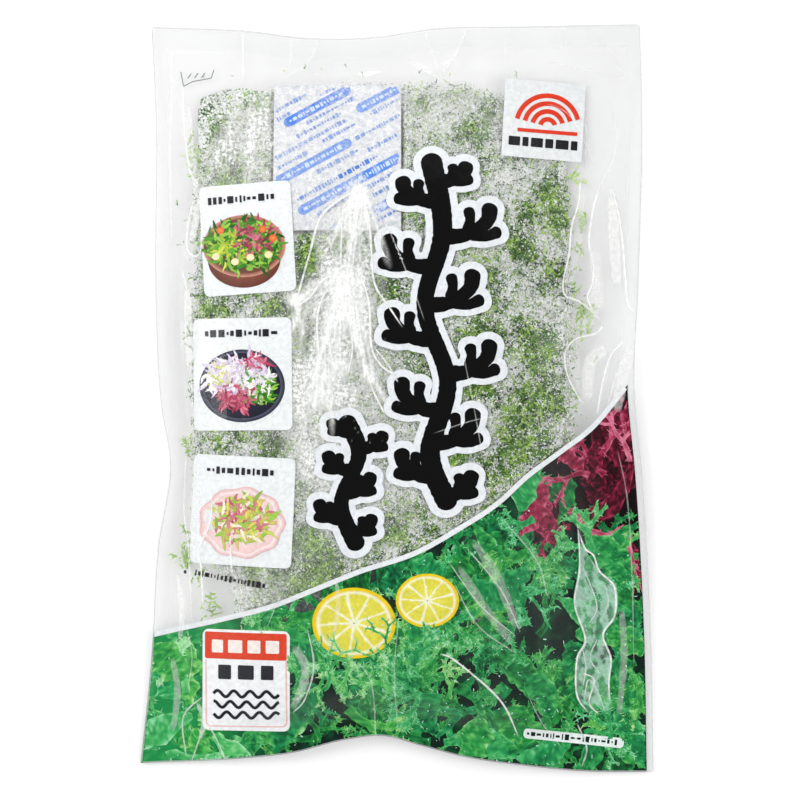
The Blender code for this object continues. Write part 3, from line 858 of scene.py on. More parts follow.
def sachet_height(x, y):
    """Height in mm of the packet's face, wrinkled by the powder in it."""
    u, v = from_sachet_middle(x, y)
    inner = ease((0.93 - np.maximum(u, v)) / 0.12)
    wrinkle = (0.30 * np.abs(noise2(x / 7 + y / 11, y / 8 - x / 15, 61))
               + 0.12 * noise2(x / 2.3, y / 2.6, 62))
    crimp = 0.07 * np.sin(np.where(u > v, y, x) * 2 * np.pi / 1.3)
    return sachet_top.at(x, y) - 0.45 + inner * wrinkle + (1 - inner) * crimp


def paper_material(name):
    """Coated white paper, faintly blue, dented by the grains behind it, with grey mottle and painted shade.
    """
    add, surface = tree_of(name)
    place = add("TexCoord").outputs["Object"]
    dents = add("TexNoise", Vector=place, Scale=520.0, Detail=3.0, Roughness=0.6)
    # Grey-blue blotches: the paper's mottle and painted shade of its wrinkles
    cloud = add("TexNoise", Vector=place, Scale=560.0, Detail=5.0, Roughness=0.8)
    depth = add("MapRange", _0=cloud.outputs["Fac"], _1=0.34, _2=0.62, _3=0.0, _4=1.0)
    colour = add("Mix", {"data_type": "RGBA"}, _0=depth.outputs["Result"], _6=(0.50, 0.53, 0.60, 1),
                 _7=(0.92, 0.92, 0.92, 1))
    bump = add("Bump", Strength=0.5, Distance=0.0005, Height=dents.outputs["Fac"])
    return surface(add("BsdfPrincipled", Base_Color=colour.outputs[2], Roughness=0.5,
                       Normal=bump.outputs["Normal"]).outputs[0])


sachet = two_faced("sachet_packet", (90, 104),
                   lambda u, v: (sachet_middle[0] + sachet_half[0] * u * 0.995,
                                 sachet_middle[1] + sachet_half[1] * v * 0.995),
                   lambda x, y, u, v: sachet_height(x, y), lambda x, y: sachet_bottom.at(x, y) + 0.4)
sachet.data.materials.append(paper_material("sachet paper"))
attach(sachet, "root")
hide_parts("sachet")


def hue(red, green, blue):
    """A colour in linear light from its usual 0 to 255 values."""
    return (np.array([red, green, blue]) / 255) ** 2.2


def ink_material(name):
    """Printing ink: each point's own colour, with the faint mottle of a printed sheet."""
    add, surface = tree_of(name)
    place = add("TexCoord").outputs["Object"]
    mottle = add("TexNoise", Vector=place, Scale=600.0, Detail=3.0)
    depth = add("MapRange", _0=mottle.outputs["Fac"], _1=0.3, _2=0.7, _3=0.90, _4=1.06)
    tint = add("Attribute", {"attribute_name": "tint"}).outputs["Color"]
    colour = add("VectorMath", {"operation": "SCALE"}, Vector=tint, Scale=depth.outputs["Result"])
    return surface(add("BsdfPrincipled", Base_Color=colour.outputs["Vector"], Roughness=0.5,
                       Specular_IOR_Level=0.05).outputs[0])


ink = ink_material("printing ink")


def printed(name, parts, depth, height=film_height):
    """Flat (places in mm, faces, colours) parts laid under a surface as ink, closer at the welds."""
    laid = []
    for flat, faces, colours, *sunk in parts:
        surface_z = height(flat[:, 0], flat[:, 1])
        room = np.clip((surface_z - back_height(flat[:, 0], flat[:, 1]) - 0.06) / 0.6, 0.15, 1)
        z = surface_z - (depth + (sunk[0] if sunk else 0.0)) * room
        laid.append((np.column_stack([flat, z]), faces, np.broadcast_to(colours, (len(flat), 3))))
    joined(name, laid, ink)


INK_CELL = 0.9                   # length of a printed bar's cells


def bar(start, end, width, colour, radius=None):
    """A straight bar or tile with rounded corners, in cells small enough to follow a crease."""
    start, end = np.array(start, float), np.array(end, float)
    length = np.hypot(*(end - start))
    ahead = (end - start) / length
    across = np.array([-ahead[1], ahead[0]])
    radius = min(width, length) / 2 if radius is None else radius
    turn = radius * (1 - np.cos(np.linspace(0, np.pi / 2, 6)))[:-1] if radius else np.zeros(0)
    straight = np.linspace(radius, length - radius, max(2, int((length - 2 * radius) / INK_CELL) + 1))
    s = np.concatenate([turn, straight, length - turn[::-1]])
    gap = np.minimum(np.minimum(s, length - s), radius)
    half = width / 2 - radius + np.sqrt(np.maximum(radius ** 2 - (radius - gap) ** 2, 0))
    side = np.linspace(-1, 1, max(2, int(width / INK_CELL) + 1))
    flat = start + s[:, None, None] * ahead + (half[:, None] * side)[..., None] * across
    return flat.reshape(-1, 2), lattice_quads(len(s), len(side)), colour


def dash_row(rng, start, end, height, colour, pitch=1.0):
    """A row of short plain blocks that stands for a line of small print."""
    start, end = np.array(start, float), np.array(end, float)
    ahead = (end - start) / np.hypot(*(end - start))
    parts, s = [], 0.0
    while s < np.hypot(*(end - start)) - pitch * height:
        length = height * pitch * rng.choice([0.25, 0.45, 0.8])
        parts.append(bar(start + ahead * s, start + ahead * (s + length),
                         height * rng.choice([0.35, 0.6, 0.85]), colour, 0.1))
        s += length + height * rng.uniform(0.2, 0.3)
    return parts


def trimmed(parts, keep_place):
    """Parts without the faces that reach over the edge of where ink may lie."""
    for flat, faces, colours, *rest in parts:
        faces = faces[np.all(keep_place(flat[:, 0], flat[:, 1])[faces], axis=1)]
        if len(faces):
            used, faces_new = np.unique(faces, return_inverse=True)
            yield (flat[used], faces_new.reshape(faces.shape),
                   np.broadcast_to(colours, (len(flat), 3))[used], *rest)


ROW_HEIGHT, BAR_HEIGHT = 2.2, 3.9
rise = math.radians(29)          # slant of the sachet's printing
ahead, across = np.array([math.cos(rise), math.sin(rise)]), np.array([-math.sin(rise), math.cos(rise)])
sachet_rng, parts = np.random.default_rng(7), []
# Printed lines: distance up from the middle, both ends along the slant, and what they are
SACHET_LINES = [
    (28.5, -18, 2, "row"), (22.0, -12, 18, "bar"), (18.0, -4, 20, "row"), (13.0, 16, 40, "bar"),
    (11.5, -26, 12, "row"), (3.0, -30, 8, "bar"), (3.0, 10, 34, "row"), (-1.5, -10, 10, "row"),
    (-3.5, 12, 32, "row"), (-12.0, -24, 30, "bar"), (-16.5, -18, 22, "row"), (-25.0, -30, -12, "bar"),
    (-26.0, -2, 22, "bar"), (25.5, 6, 24, "row"), (7.5, -28, -8, "row"), (-20.5, 0, 30, "row"),
    (25.0, -22, -6, "row"), (15.0, -10, 12, "row"), (8.4, -2, 14, "row"), (-7.4, -22, 16, "row"),
    (9.0, 20, 38, "row"), (-29.5, -20, -4, "row"), (-16.0, 24, 36, "row"), (-30.0, 0, 16, "row")
]
for offset, low_end, high_end, kind in SACHET_LINES:
    start, end = (sachet_middle + across * offset + ahead * reach for reach in (low_end, high_end))
    faded = sachet_rng.uniform(0.0, 0.28)
    full = hue(32, 118, 222) if kind == "bar" else hue(86, 130, 212)
    colour = full * (1 - faded) + hue(178, 204, 236) * faded
    if kind == "row":
        rows = dash_row(sachet_rng, start, end, ROW_HEIGHT, colour)
    else:
        rows = [bar(start, end, BAR_HEIGHT, colour)]
        rows += [(flat, faces, hue(205, 222, 246), -0.04) for flat, faces, _ in
                 dash_row(sachet_rng, start + ahead * 2.4, end - ahead * 2.4, ROW_HEIGHT, None)]
    parts += trimmed(rows, lambda x, y: ((np.abs(x - sachet_middle[0]) < sachet_half[0] - 0.6)
                                         & (np.abs(y - sachet_middle[1]) < sachet_half[1] - 0.6)))
printed("sachet_print", parts, -0.10, sachet_height)

# ---------------------------------------------------------------------------------------------
# Printed panel: the lower part of the front film is printed on its inside with a dark heap of
# green and maroon seaweed and two citrus slices, and a white line closes it towards the window.
PANEL_LINE = [(-104, -96.5), (-97.6, -94.8), (-70.9, -88.4), (-47.4, -81.7), (-35.5, -76.9),
              (-15.9, -68.9), (9.2, -60.2), (24.7, -51.4), (41, -40.6), (51, -31.5), (64.9, -21.5),
              (79.3, -10.4), (86.1, -2.4), (93.2, 6.8), (99, 14)]
MAROON_LINE = [(40, -34), (47, -37.5), (64.9, -50.6), (80.9, -56.6), (100, -58.6)]
LABEL = (-60.2, -112.7)          # middle of the label that covers part of the panel
PANEL_RIGHT = 2.8                # clear margin at the right weld
GREENS = (0, 0.2, 0.45, 0.7, 1), [hue(14, 24, 26), hue(16, 84, 50), hue(36, 142, 76), hue(84, 188, 104),
                                  hue(176, 234, 186)]
MAROONS = (0, 0.3, 0.6, 1), [hue(14, 8, 12), hue(72, 18, 34), hue(158, 40, 74), hue(222, 130, 158)]


def blend(tone, steps, colours):
    """Colours for tones from 0 to 1, between given steps."""
    return np.stack([np.interp(tone, steps, [c[k] for c in colours]) for k in range(3)], 1)


def in_panel(x, y, margin=0.0):
    """Whether places lie on the printed panel."""
    return (((np.abs(x - LABEL[0]) > 16.4) | (np.abs(y - LABEL[1]) > 19.2))
            & (y < along(PANEL_LINE, x) - margin) & (x > along(LEFT_EDGE, y) + 0.1)
            & (x < along(RIGHT_EDGE, y) - PANEL_RIGHT) & (y > along(BOTTOM_EDGE, x) + 0.1))


GROUND_GRID = (190, 130)
u, v = (c.ravel() for c in np.meshgrid(*(np.linspace(0, 1, size) for size in GROUND_GRID), indexing="ij"))
y = -150 + 110 * v
for _ in range(6):               # each edge's place depends on the other's, and a few rounds settle both
    left, right = along(LEFT_EDGE, y), along(RIGHT_EDGE, y) - PANEL_RIGHT
    x = left + (right - left) * u
    low = along(BOTTOM_EDGE, x)
    y = low + (along(PANEL_LINE, x) - low) * v
gloom = (0.02 + 0.42 * ease((-46 - x) / 30)
         + 0.16 * np.clip(noise2(x / 7, y / 6, 71) + 0.5 * noise2(x / 2.5, y / 2.2, 72), 0, 1))
red_part = ease((y - along(MAROON_LINE, x)) / 3 + 0.5) * ease((x - 36) / 8)
ground = blend(gloom, *GREENS) * (1 - red_part[:, None]) + blend(gloom * 0.6, *MAROONS) * red_part[:, None]
ground_part = (np.column_stack([x, y]), lattice_quads(*GROUND_GRID), ground, 0.26)

print_rng = np.random.default_rng(12)


def forks(rng, start, heading, length, width, levels):
    """A frond that forks again and again: the axis, widths and rank of each of its branches."""
    axis = curl_path(rng, start, heading, length, 5, 0.45)
    yield axis, np.linspace(1, 0.66, 6) * width * (1 + 0.2 * rng.uniform(-1, 1, 6)), levels
    if levels:
        ahead = axis[-1] - axis[-2]
        for side in (-1, 1) if rng.uniform() < 0.75 else (-1, 0.1, 1):
            turn = math.atan2(ahead[1], ahead[0]) + side * rng.uniform(0.3, 0.75)
            yield from forks(rng, axis[-1], turn, length * rng.uniform(0.6, 0.95),
                             width * rng.uniform(0.62, 0.86), levels - 1)


def painted(flat, light, colours, cast):
    """Ink colours of a printed frond: its own light, cloudy shading, and fine pale folds."""
    x, y = flat[:, 0], flat[:, 1]
    cloud = 0.16 * noise2(x / 3.1, y / 2.7, 74) + 0.10 * noise2(x / 0.9, y / 0.9, 75)
    fold = 0.22 * (1 - np.minimum(1, 3 * np.abs(noise2(x / 2.6, y / 3.4, 77)))) ** 2
    return np.clip(blend(light + cloud + fold, *colours) * cast, 0, 1)


def light_and_cast(tones, near, start, colours):
    """How light a printed frond is, by its depth in the heap, and its own cast; greens pale leftwards."""
    light = tones[0] + (tones[1] - tones[0]) * near * print_rng.uniform(0.6, 1.15)
    light += 0.18 * ease((-36 - start[0]) / 40) * (colours is GREENS)
    return light, 1 + np.array([0.4, 0.05, -0.25]) * print_rng.uniform(-0.5, 1) * (colours is GREENS)


def fronds(count, size, width, levels, colours, tones, spread, centre_of):
    """Forking printed fronds with fringed tips, the deeper ones darker."""
    found = []
    for k in range(count):
        near = (k + 1) / count
        start, heading = centre_of(print_rng)
        light, cast = light_and_cast(tones, near, start, colours)
        for axis, widths, rank in forks(print_rng, np.array(start), heading,
                                        size * print_rng.uniform(0.7, 1.3),
                                        width * print_rng.uniform(0.7, 1.3), levels):
            flat, faces, side = strip(axis, widths, 5)
            own = light + 0.05 * (levels - rank) + 0.14 * side ** 2
            found.append((flat, faces, painted(flat, own, colours, cast), spread * (1 - near)))
            for root, w in list(zip(axis[1:], widths[1:])) * (rank < 3):
                tip = curl_path(print_rng, root, print_rng.uniform(0, 6.3), w + print_rng.uniform(0.6, 1.7),
                                3, 0.6)
                flat, faces, _ = strip(tip, np.array([0.26, 0.2, 0.14, 0.06]), 2)
                found.append((flat, faces, painted(flat, own[:8] + 0.18, colours, cast),
                              spread * (1 - near)))
    return list(trimmed(found, in_panel))


def ruffles(count, size, width, colours, tones, spread, centre_of):
    """Broad printed sheets of frond with ruffled rims."""
    found = []
    for k in range(count):
        near = (k + 1) / count
        start, heading = centre_of(print_rng)
        axis = curl_path(print_rng, np.array(start), heading, size * print_rng.uniform(0.6, 1.3), 30, 0.22)
        t = np.linspace(0, 1, 31)
        widths = width * print_rng.uniform(0.6, 1.2) * (0.3 + np.sin(np.pi * np.clip(t * 1.1, 0, 1)) ** 0.7)
        widths = widths * (1 + 0.35 * noise2(t * 5 + k, t * 0 + 0.5, 73)
                           + 0.16 * noise2(t * 17 + k, t * 0 + 0.5, 78))
        light, cast = light_and_cast(tones, near, start, colours)
        flat, faces, side = strip(axis, np.maximum(widths, 0.2), 11)
        wave = 0.14 * np.sin(np.repeat(t * 40, 11)
                             + 3 * noise2(flat[:, 0] / 3, flat[:, 1] / 3, 79)) * np.abs(side)
        found.append((flat, faces, painted(flat, light + 0.20 * side ** 4 + wave, colours, cast),
                      spread * (1 - near)))
    return list(trimmed(found, in_panel))


def green_spot(rng):
    """Start and heading of a green blade: strewn over the panel, rising from below."""
    while True:
        x, y = rng.uniform(-104, 98), rng.uniform(-152, -34)
        if in_panel(x, y, 2) and (x < 44 or y < along(MAROON_LINE, x) - 2):
            return (x, y), rng.uniform(0, 6.3)


def maroon_spot(rng):
    """Start and heading of a maroon blade in the panel's right corner."""
    while True:
        x, y = rng.uniform(46, 96), rng.uniform(-56, 8)
        if in_panel(x, y, 2) and y > along(MAROON_LINE, x):
            return (x, y), rng.uniform(0, 6.3)


def citrus(middle, radius, turn, sunk):
    """A round slice: rind, white pith and nine wedges of flesh."""
    rows, spokes = 15, 97
    r, t = np.meshgrid(np.linspace(0.02, 1, rows), np.linspace(0, 2 * np.pi, spokes), indexing="ij")
    wedge = np.abs(np.sin((t + turn) * 4.5))
    flesh = blend((0.35 + 0.45 * r + 0.25 * noise2(r * 9, t * 7, 76)).ravel(), (0, 1),
                  [hue(246, 238, 120), hue(214, 206, 40)])
    pith, rind = hue(246, 246, 214), hue(238, 206, 30)
    edge = ((r > 0.80) | (wedge < 0.13 / np.maximum(r, 0.15)) | (r < 0.10)).ravel()[:, None]
    colours = np.where((r > 0.92).ravel()[:, None], rind, np.where(edge, pith, flesh))
    x, y = middle[0] + radius * r * np.cos(t), middle[1] + 0.86 * radius * r * np.sin(t)
    return np.stack([x, y], 2).reshape(-1, 2), lattice_quads(rows, spokes), colours, sunk


def low_spot(rng):
    """Start and heading of a blade that rises in front of the slices."""
    return (rng.uniform(-34, 32), rng.uniform(-120, -106)), rng.uniform(0.3, 2.8)


printed("panel_ground", [ground_part], 0.24)
printed("panel_maroon", ruffles(26, 28, 3.6, MAROONS, (0.02, 0.50), 0.12, maroon_spot)
        + fronds(8, 9, 1.2, 2, MAROONS, (0.34, 0.70), 0.04, maroon_spot), 0.18)
printed("panel_green_deep", fronds(60, 10, 2.2, 3, GREENS, (0.08, 0.34), 0.10, green_spot), 0.36)
printed("panel_green_sheets", ruffles(54, 28, 5.2, GREENS, (0.14, 0.44), 0.10, green_spot), 0.26)
printed("panel_green_middle", fronds(34, 9, 2.0, 3, GREENS, (0.18, 0.44), 0.05, green_spot), 0.20)
printed("panel_green_front", ruffles(24, 26, 4.6, GREENS, (0.24, 0.46), 0.04, green_spot)
        + fronds(16, 8, 1.6, 3, GREENS, (0.28, 0.50), 0.02, green_spot), 0.15)
printed("panel_citrus", [citrus((-17, -89), 16.5, 0.3, 0.03), citrus((12, -80), 12.5, 1.1, 0.0)], 0.12)
printed("panel_front_fronds", fronds(12, 7, 1.4, 3, GREENS, (0.28, 0.54), 0.02, low_spot), 0.08)
glints = [bar(start, start + print_rng.normal(0, 0.5, 2), print_rng.uniform(0.2, 0.45), hue(196, 236, 228))
          for start in (np.array(green_spot(print_rng)[0]) for _ in range(260))]
printed("panel_glints", list(trimmed(glints, in_panel)), 0.07)
line_x = np.linspace(-99, 96, 240)
line = np.column_stack([line_x, along(PANEL_LINE, line_x)])
flat, faces, _ = strip(line, np.full(len(line), 1.0), 3)
printed("panel_line", list(trimmed([(flat, faces, hue(232, 236, 238))],
        lambda x, y: (x > along(LEFT_EDGE, y)) & (x < along(RIGHT_EDGE, y) - PANEL_RIGHT + 0.3))), 0.08)

# ---------------------------------------------------------------------------------------------
# Brush plants: two branching seaweed plants as if drawn with a broad ink brush, printed in black
# on a white halo, the tall one up the middle of the window.
HALO = 2.9                       # how far the white reaches past the ink
PLANTS = [  # stem in mm, its half width, and branches: share of the stem, side and length
    ([(21, -44), (13, -22), (20, 6), (11, 36), (18, 66), (13, 97)], 3.9,
     [(0.06, 1, 13), (0.13, -1, 15), (0.24, 1, 19), (0.33, -1, 19), (0.43, 1, 20), (0.52, -1, 19),
      (0.61, 1, 22), (0.71, -1, 21), (0.79, 1, 22), (0.88, -1, 17), (0.93, 1, 14)]),
    ([(-15, -60), (-22, -42), (-15, -22), (-21, -7)], 3.4,
     [(0.14, 1, 10), (0.24, -1, 11), (0.42, 1, 12), (0.56, -1, 12), (0.72, 1, 11), (0.86, -1, 9)])]


def plant_strokes(stem, half_width, branches):
    """The strokes of one plant: (route, half width), each branch rising and forking twice."""
    yield stem, half_width
    for share, side, length in branches:
        root = on_route(stem, share * (len(stem) - 1))
        size, up = np.array([side * length, length]), 1.0 - 0.25 * share

        def route(*points):
            return [tuple(root + size * (px, py * up)) for px, py in points]

        yield route((0, -0.05), (0.42, 0.0), (0.80, 0.30), (0.86, 0.72)), half_width * 0.80
        yield route((0.46, 0.03), (0.76, -0.04), (1.06, 0.10)), half_width * 0.62
        yield route((0.44, 0.05), (0.50, 0.34), (0.46, 0.62)), half_width * 0.60


def brush_stroke(route, half_width, grow, seed):
    """A stroke with blunt, uneven ends: (places in mm, quads); grow widens it all round."""
    count = max(14, int(3 * len(route) * half_width))
    path = on_route(route, np.linspace(0, len(route) - 1, count))
    if grow:
        first, last = path[0] - path[1], path[-1] - path[-2]
        path = np.concatenate([[path[0] + first / np.hypot(*first) * grow], path,
                               [path[-1] + last / np.hypot(*last) * grow]])
    steps = np.hypot(*np.diff(path, axis=0).T)
    s = np.concatenate([[0], steps.cumsum()])
    near = np.linspace(0, np.pi / 2, 9)
    width = half_width + grow
    cap = min(width, s[-1] / 2)
    s_new = np.concatenate([cap * (1 - np.cos(near))[:-1],
                            np.linspace(cap, s[-1] - cap, max(2, int((s[-1] - 2 * cap) / 0.8) + 1)),
                            s[-1] - cap * (1 - np.cos(near))[-2::-1]])
    path = np.stack([np.interp(s_new, s, path[:, axis]) for axis in (0, 1)], 1)
    gap = np.minimum(np.minimum(s_new, s[-1] - s_new) / cap, 1)
    shape = np.sqrt(1 - (1 - gap) ** 2)
    middle = s_new / s[-1]
    swell = (1.10 - 0.26 * np.sin(np.pi * middle) ** 1.5
             + (0 if grow else 0.07) * noise2(s_new / 1.6, s_new * 0 + seed, 81))
    flat, quads, _ = strip(path, np.maximum(width * shape * swell, 0.01), max(5, int(2 * width / 0.8)))
    return flat, quads


strokes, halos = [], []
for plant in PLANTS:
    for k, (route, half_width) in enumerate(plant_strokes(*plant)):
        strokes.append((*brush_stroke(route, half_width, 0.0, k), hue(5, 5, 7)))
        halos.append((*brush_stroke(route, half_width, HALO, k), hue(232, 236, 240)))
printed("brush_halo", halos, 0.13)
printed("brush_ink", strokes, 0.08)

# ---------------------------------------------------------------------------------------------
# Serving tiles: three pale tiles down the left of the window, each with a row of dashes and a
# small picture of a dish of seaweed.
TILE_WHITE, CAPTION = hue(236, 240, 241), hue(40, 40, 46)


def tilted(middle, size, angle, colour, radius):
    """A tile with rounded corners round a middle, turned by an angle in degrees."""
    ahead = np.array([math.cos(math.radians(angle)), math.sin(math.radians(angle))])
    return bar(middle - ahead * size[0] / 2, middle + ahead * size[0] / 2, size[1], colour, radius)


def disc(middle, radii, inner, colours, sunk, lobes=0.0, rows=7):
    """A ring or full round in perspective, its colours blended from its inside to its rim."""
    spokes = 61
    r, t = np.meshgrid(np.linspace(inner, 1, rows), np.linspace(0, 2 * np.pi, spokes), indexing="ij")
    wave = 1 + lobes * np.cos(9 * t)
    flat = np.stack([middle[0] + radii[0] * r * wave * np.cos(t),
                     middle[1] + radii[1] * r * wave * np.sin(t)], 2)
    shade = blend(((r - inner) / (1 - inner)).ravel(), np.linspace(0, 1, len(colours)),
                  [hue(*c) for c in colours])
    return flat.reshape(-1, 2), lattice_quads(rows, spokes), shade, sunk


def heap(rng, middle, radii, count, size, colours):
    """Small curled strips strewn over an oval, in mixed colours."""
    found = []
    for k in range(count):
        spread, t = rng.uniform(0, 1) ** 0.6, rng.uniform(0, 2 * np.pi)
        start = np.array([middle[0] + radii[0] * spread * np.cos(t),
                          middle[1] + radii[1] * spread * np.sin(t)])
        path = curl_path(rng, start, rng.uniform(0, 6.3), size * rng.uniform(0.5, 1.2), 5, 0.9)
        flat, quads, side = strip(path, np.array([0.25, 0.5, 0.55, 0.45, 0.3, 0.1]) * size * 0.22, 3)
        colour = hue(*colours[rng.integers(len(colours))]) * rng.uniform(0.75, 1.1)
        found.append((flat, quads, colour * (1.12 - 0.25 * np.abs(side))[:, None], -0.02 * k / count))
    return found


LEAVES = [(96, 170, 52), (60, 132, 44), (150, 200, 80)]
PINKS = [(196, 78, 108), (214, 120, 140), (160, 60, 84)]
tile_rng, tile_parts = np.random.default_rng(31), []
for middle, size, angle in (((-59.4, 63.2), (37, 44), 3.5), ((-61.2, 9.4), (39.6, 44.5), 0.6),
                            ((-61.3, -44.8), (41, 43.5), -2.6)):
    middle = np.array(middle)
    ahead = np.array([math.cos(math.radians(angle)), math.sin(math.radians(angle))])
    head = middle + np.array([-ahead[1], ahead[0]]) * (size[1] / 2 - 6)
    tile_parts.append((*tilted(middle, size, angle, TILE_WHITE, 2.4), 0.20))
    tile_parts += dash_row(tile_rng, head - ahead * 15, head + ahead * 15, 3.4, CAPTION, 0.9)
    rim_shade = [(196, 200, 202), (206, 210, 212), (236, 240, 241)]
    tile_parts.append(disc(middle + (0.8, -5.6), (17.4, 14.6), 0.0, rim_shade, 0.15))
bowl, plate, dish = (np.array(p) for p in ((-60.6, 58.6), (-61.4, 4.8), (-61.6, -49.4)))
tile_parts += [
    disc(bowl + (0, -3.8), (14.6, 11.2), 0.0, [(150, 92, 76), (140, 84, 70), (104, 60, 50)], 0.10),
    disc(bowl + (0, 1.6), (16.6, 12.4), 0.0, [(70, 52, 46), (96, 66, 58), (122, 78, 68)], 0.08),
    disc(bowl + (0, 1.6), (16.6, 12.4), 0.88, [(140, 86, 72), (206, 150, 130)], 0.05, rows=3)
]
tile_parts += heap(tile_rng, bowl + (0, 2.2), (14.0, 10.0), 280, 5.4, LEAVES + [(40, 96, 36)])
tile_parts += heap(tile_rng, bowl + (3.5, 4.5), (7.4, 5.8), 200, 4.6, PINKS)
tile_parts += heap(tile_rng, bowl + (-6, 1), (6.0, 6.0), 150, 4.0,
                   [(206, 214, 82), (190, 206, 70), (150, 190, 60)])
PEARLS = [(-9.6, 8), (-3.6, -4.6), (9.8, -2.0), (7.4, 8.2), (-11.4, -2.4), (2.6, -3.0), (11.6, 4.6)]
for k, place in enumerate(PEARLS):
    tints = [(250, 240, 200), (240, 222, 170)] if k % 3 else [(244, 150, 84), (226, 96, 58)]
    tile_parts.append(disc(bowl + place, (1.6, 1.4), 0.0, tints, -0.03, rows=3))
tile_parts += [disc(plate, (17.2, 14.4), 0.0, [(58, 60, 76), (44, 46, 60), (34, 36, 48)], 0.10),
               disc(plate, (17.2, 14.4), 0.90, [(86, 90, 108), (40, 42, 54)], 0.05, rows=3)]
tile_parts += heap(tile_rng, plate + (-1.5, 3.4), (12.6, 7.6), 290, 5.4,
                   [(232, 222, 236), (214, 196, 224), (250, 246, 250)])
tile_parts += heap(tile_rng, plate + (7, -0.5), (6.4, 6.4), 150, 4.4, LEAVES + [(250, 246, 230)])
tile_parts += heap(tile_rng, plate + (-9, 4), (4.6, 4.4), 90, 3.8, [(206, 214, 110), (240, 236, 190)])
tile_parts += heap(tile_rng, plate + (-2, -4.0), (6.4, 5.0), 190, 4.4, PINKS)
tile_parts += heap(tile_rng, plate + (5, 9), (5.0, 2.6), 60, 4.0, PINKS[:2])
tile_parts += [
    disc(dish, (17.2, 14.0), 0.0, [(250, 236, 234), (246, 220, 218), (238, 200, 198)], 0.10, 0.035),
    disc(dish, (17.2, 14.0), 0.86, [(250, 240, 238), (226, 176, 176)], 0.05, 0.035, rows=4)
]
tile_parts += heap(tile_rng, dish + (0, 1.0), (11.4, 8.2), 260, 6.0,
                   LEAVES[2:] + PINKS[1:2] + [(246, 236, 214), (226, 206, 110), (204, 214, 96)])
tile_parts += heap(tile_rng, dish + (-2, 4), (5.6, 3.8), 70, 4.6, PINKS[:2])
printed("serving_tiles", tile_parts, 0.06)

# ---------------------------------------------------------------------------------------------
# Corner tile, contents label and small marks: plain printed marks with no wording. The corner
# tile holds a fan of arcs, an old wave pattern, and the label a red head over plain waves.
marks = []
corner, lean = np.array([58.6, 111.0]), -3.6
marks.append((*tilted(corner, (32.5, 31.5), lean, hue(230, 233, 234), 0.3), 0.10))
for radius in (3.0, 6.2, 9.4, 12.6):
    t = np.radians(np.linspace(14, 166, 40))
    arc = corner + (1.6, -2.6) + np.stack([radius * np.cos(t), radius * np.sin(t)], 1)
    flat, quads, _ = strip(arc, np.full(len(arc), 0.95), 3)
    marks.append((flat, quads, hue(222, 62, 38)))
marks.append(bar(corner + (-10.6, -4.0), corner + (13.6, -5.4), 1.5, hue(222, 62, 38), 0.2))
marks += [bar(corner + (x - 14.2, -8.4 - 0.064 * x), corner + (x - 14.2 + w, -8.4 - 0.064 * (x + w)), 3.7,
              hue(26, 26, 30), 0.3)
          for x, w in ((0, 4.6), (5.6, 2.4), (9.0, 4.8), (14.8, 3.2), (19.0, 5.2), (25.2, 2.6))]
label = np.array(LABEL)
marks += [(*tilted(label, (35.2, 41.0), -0.6, hue(244, 246, 247), 2.6), 0.12),
          (*tilted(label + (0, 14.0), (33.0, 10.8), -0.6, hue(222, 72, 46), 0.8), 0.06)]
frame_line = [(-16.2, 8.4), (-16.2, -17.4), (-14.9, -18.7), (14.9, -18.7), (16.2, -17.4), (16.2, 8.4)]
marks += [(*bar(label + a, label + b, 0.5, hue(238, 190, 186), 0.2), 0.06)
          for a, b in zip(frame_line, frame_line[1:])]
marks += [tilted(label + (x, 13.8), (w, 5.2), -0.6, hue(248, 236, 230), 0.5)
          for x, w in ((-11.4, 4.6), (-4.2, 5.8), (3.4, 5.2), (10.8, 5.4))]
marks += [tilted(label + (x, 3.4), (w, 5.8), -0.6, hue(44, 44, 50), 0.5)
          for x, w in ((-8.6, 5.2), (0, 6.4), (8.6, 5.0))]
for row in (0, 1, 2):
    wave_x = np.linspace(-13.2, 13.2, 70)
    wave_y = -5.4 - 4.3 * row + 1.25 * np.sin(wave_x * 2 * np.pi / 6.6 + 1.4 * row)
    wave = label + np.stack([wave_x, wave_y], 1)
    flat, quads, _ = strip(wave, np.full(len(wave), 0.62), 3)
    marks.append((flat, quads, hue(30, 32, 42)))
marks += [bar((-85.2, -69.4), (-84.0, -69.5), 1.5, CAPTION)]
marks += dash_row(tile_rng, (-80.5, -69.6), (-49.5, -74.8), 2.9, CAPTION, 0.8)
marks += [(*bar((50.6, -134.0), (91.0, -138.6), 4.0, hue(226, 234, 232), 1.6), 0.03)]
marks += dash_row(tile_rng, (52.0, -134.2), (89.8, -138.4), 2.7, hue(24, 40, 36), 0.8)
GREY = hue(120, 122, 124)
flag = [(-86.8, 130.9), (-85.6, 125.0), (-82.0, 126.9), (-74.5, 128.2), (-73.4, 131.6)]
marks += [bar(a, b, 0.35, GREY) for a, b in zip(flag, flag[1:])]
marks += [bar((x, 128.2 + 0.1 * k), (x + 1.5, 130.2 + 0.1 * k), 0.4, GREY)
          for k, x in enumerate((-84.0, -81.2, -78.4))]
printed("marks", marks, 0.035)

# ---------------------------------------------------------------------------------------------
# Painted highlights: fine white lines that paint the glare along the creases, a painted glassy
# sheen between two of them and painted glare streaks. They lie on the outside of the front film.
def on_film(flat):
    """Places in mm on the outside of the front film."""
    return np.column_stack([flat, film_height(flat[:, 0], flat[:, 1]) + ON_FILM])


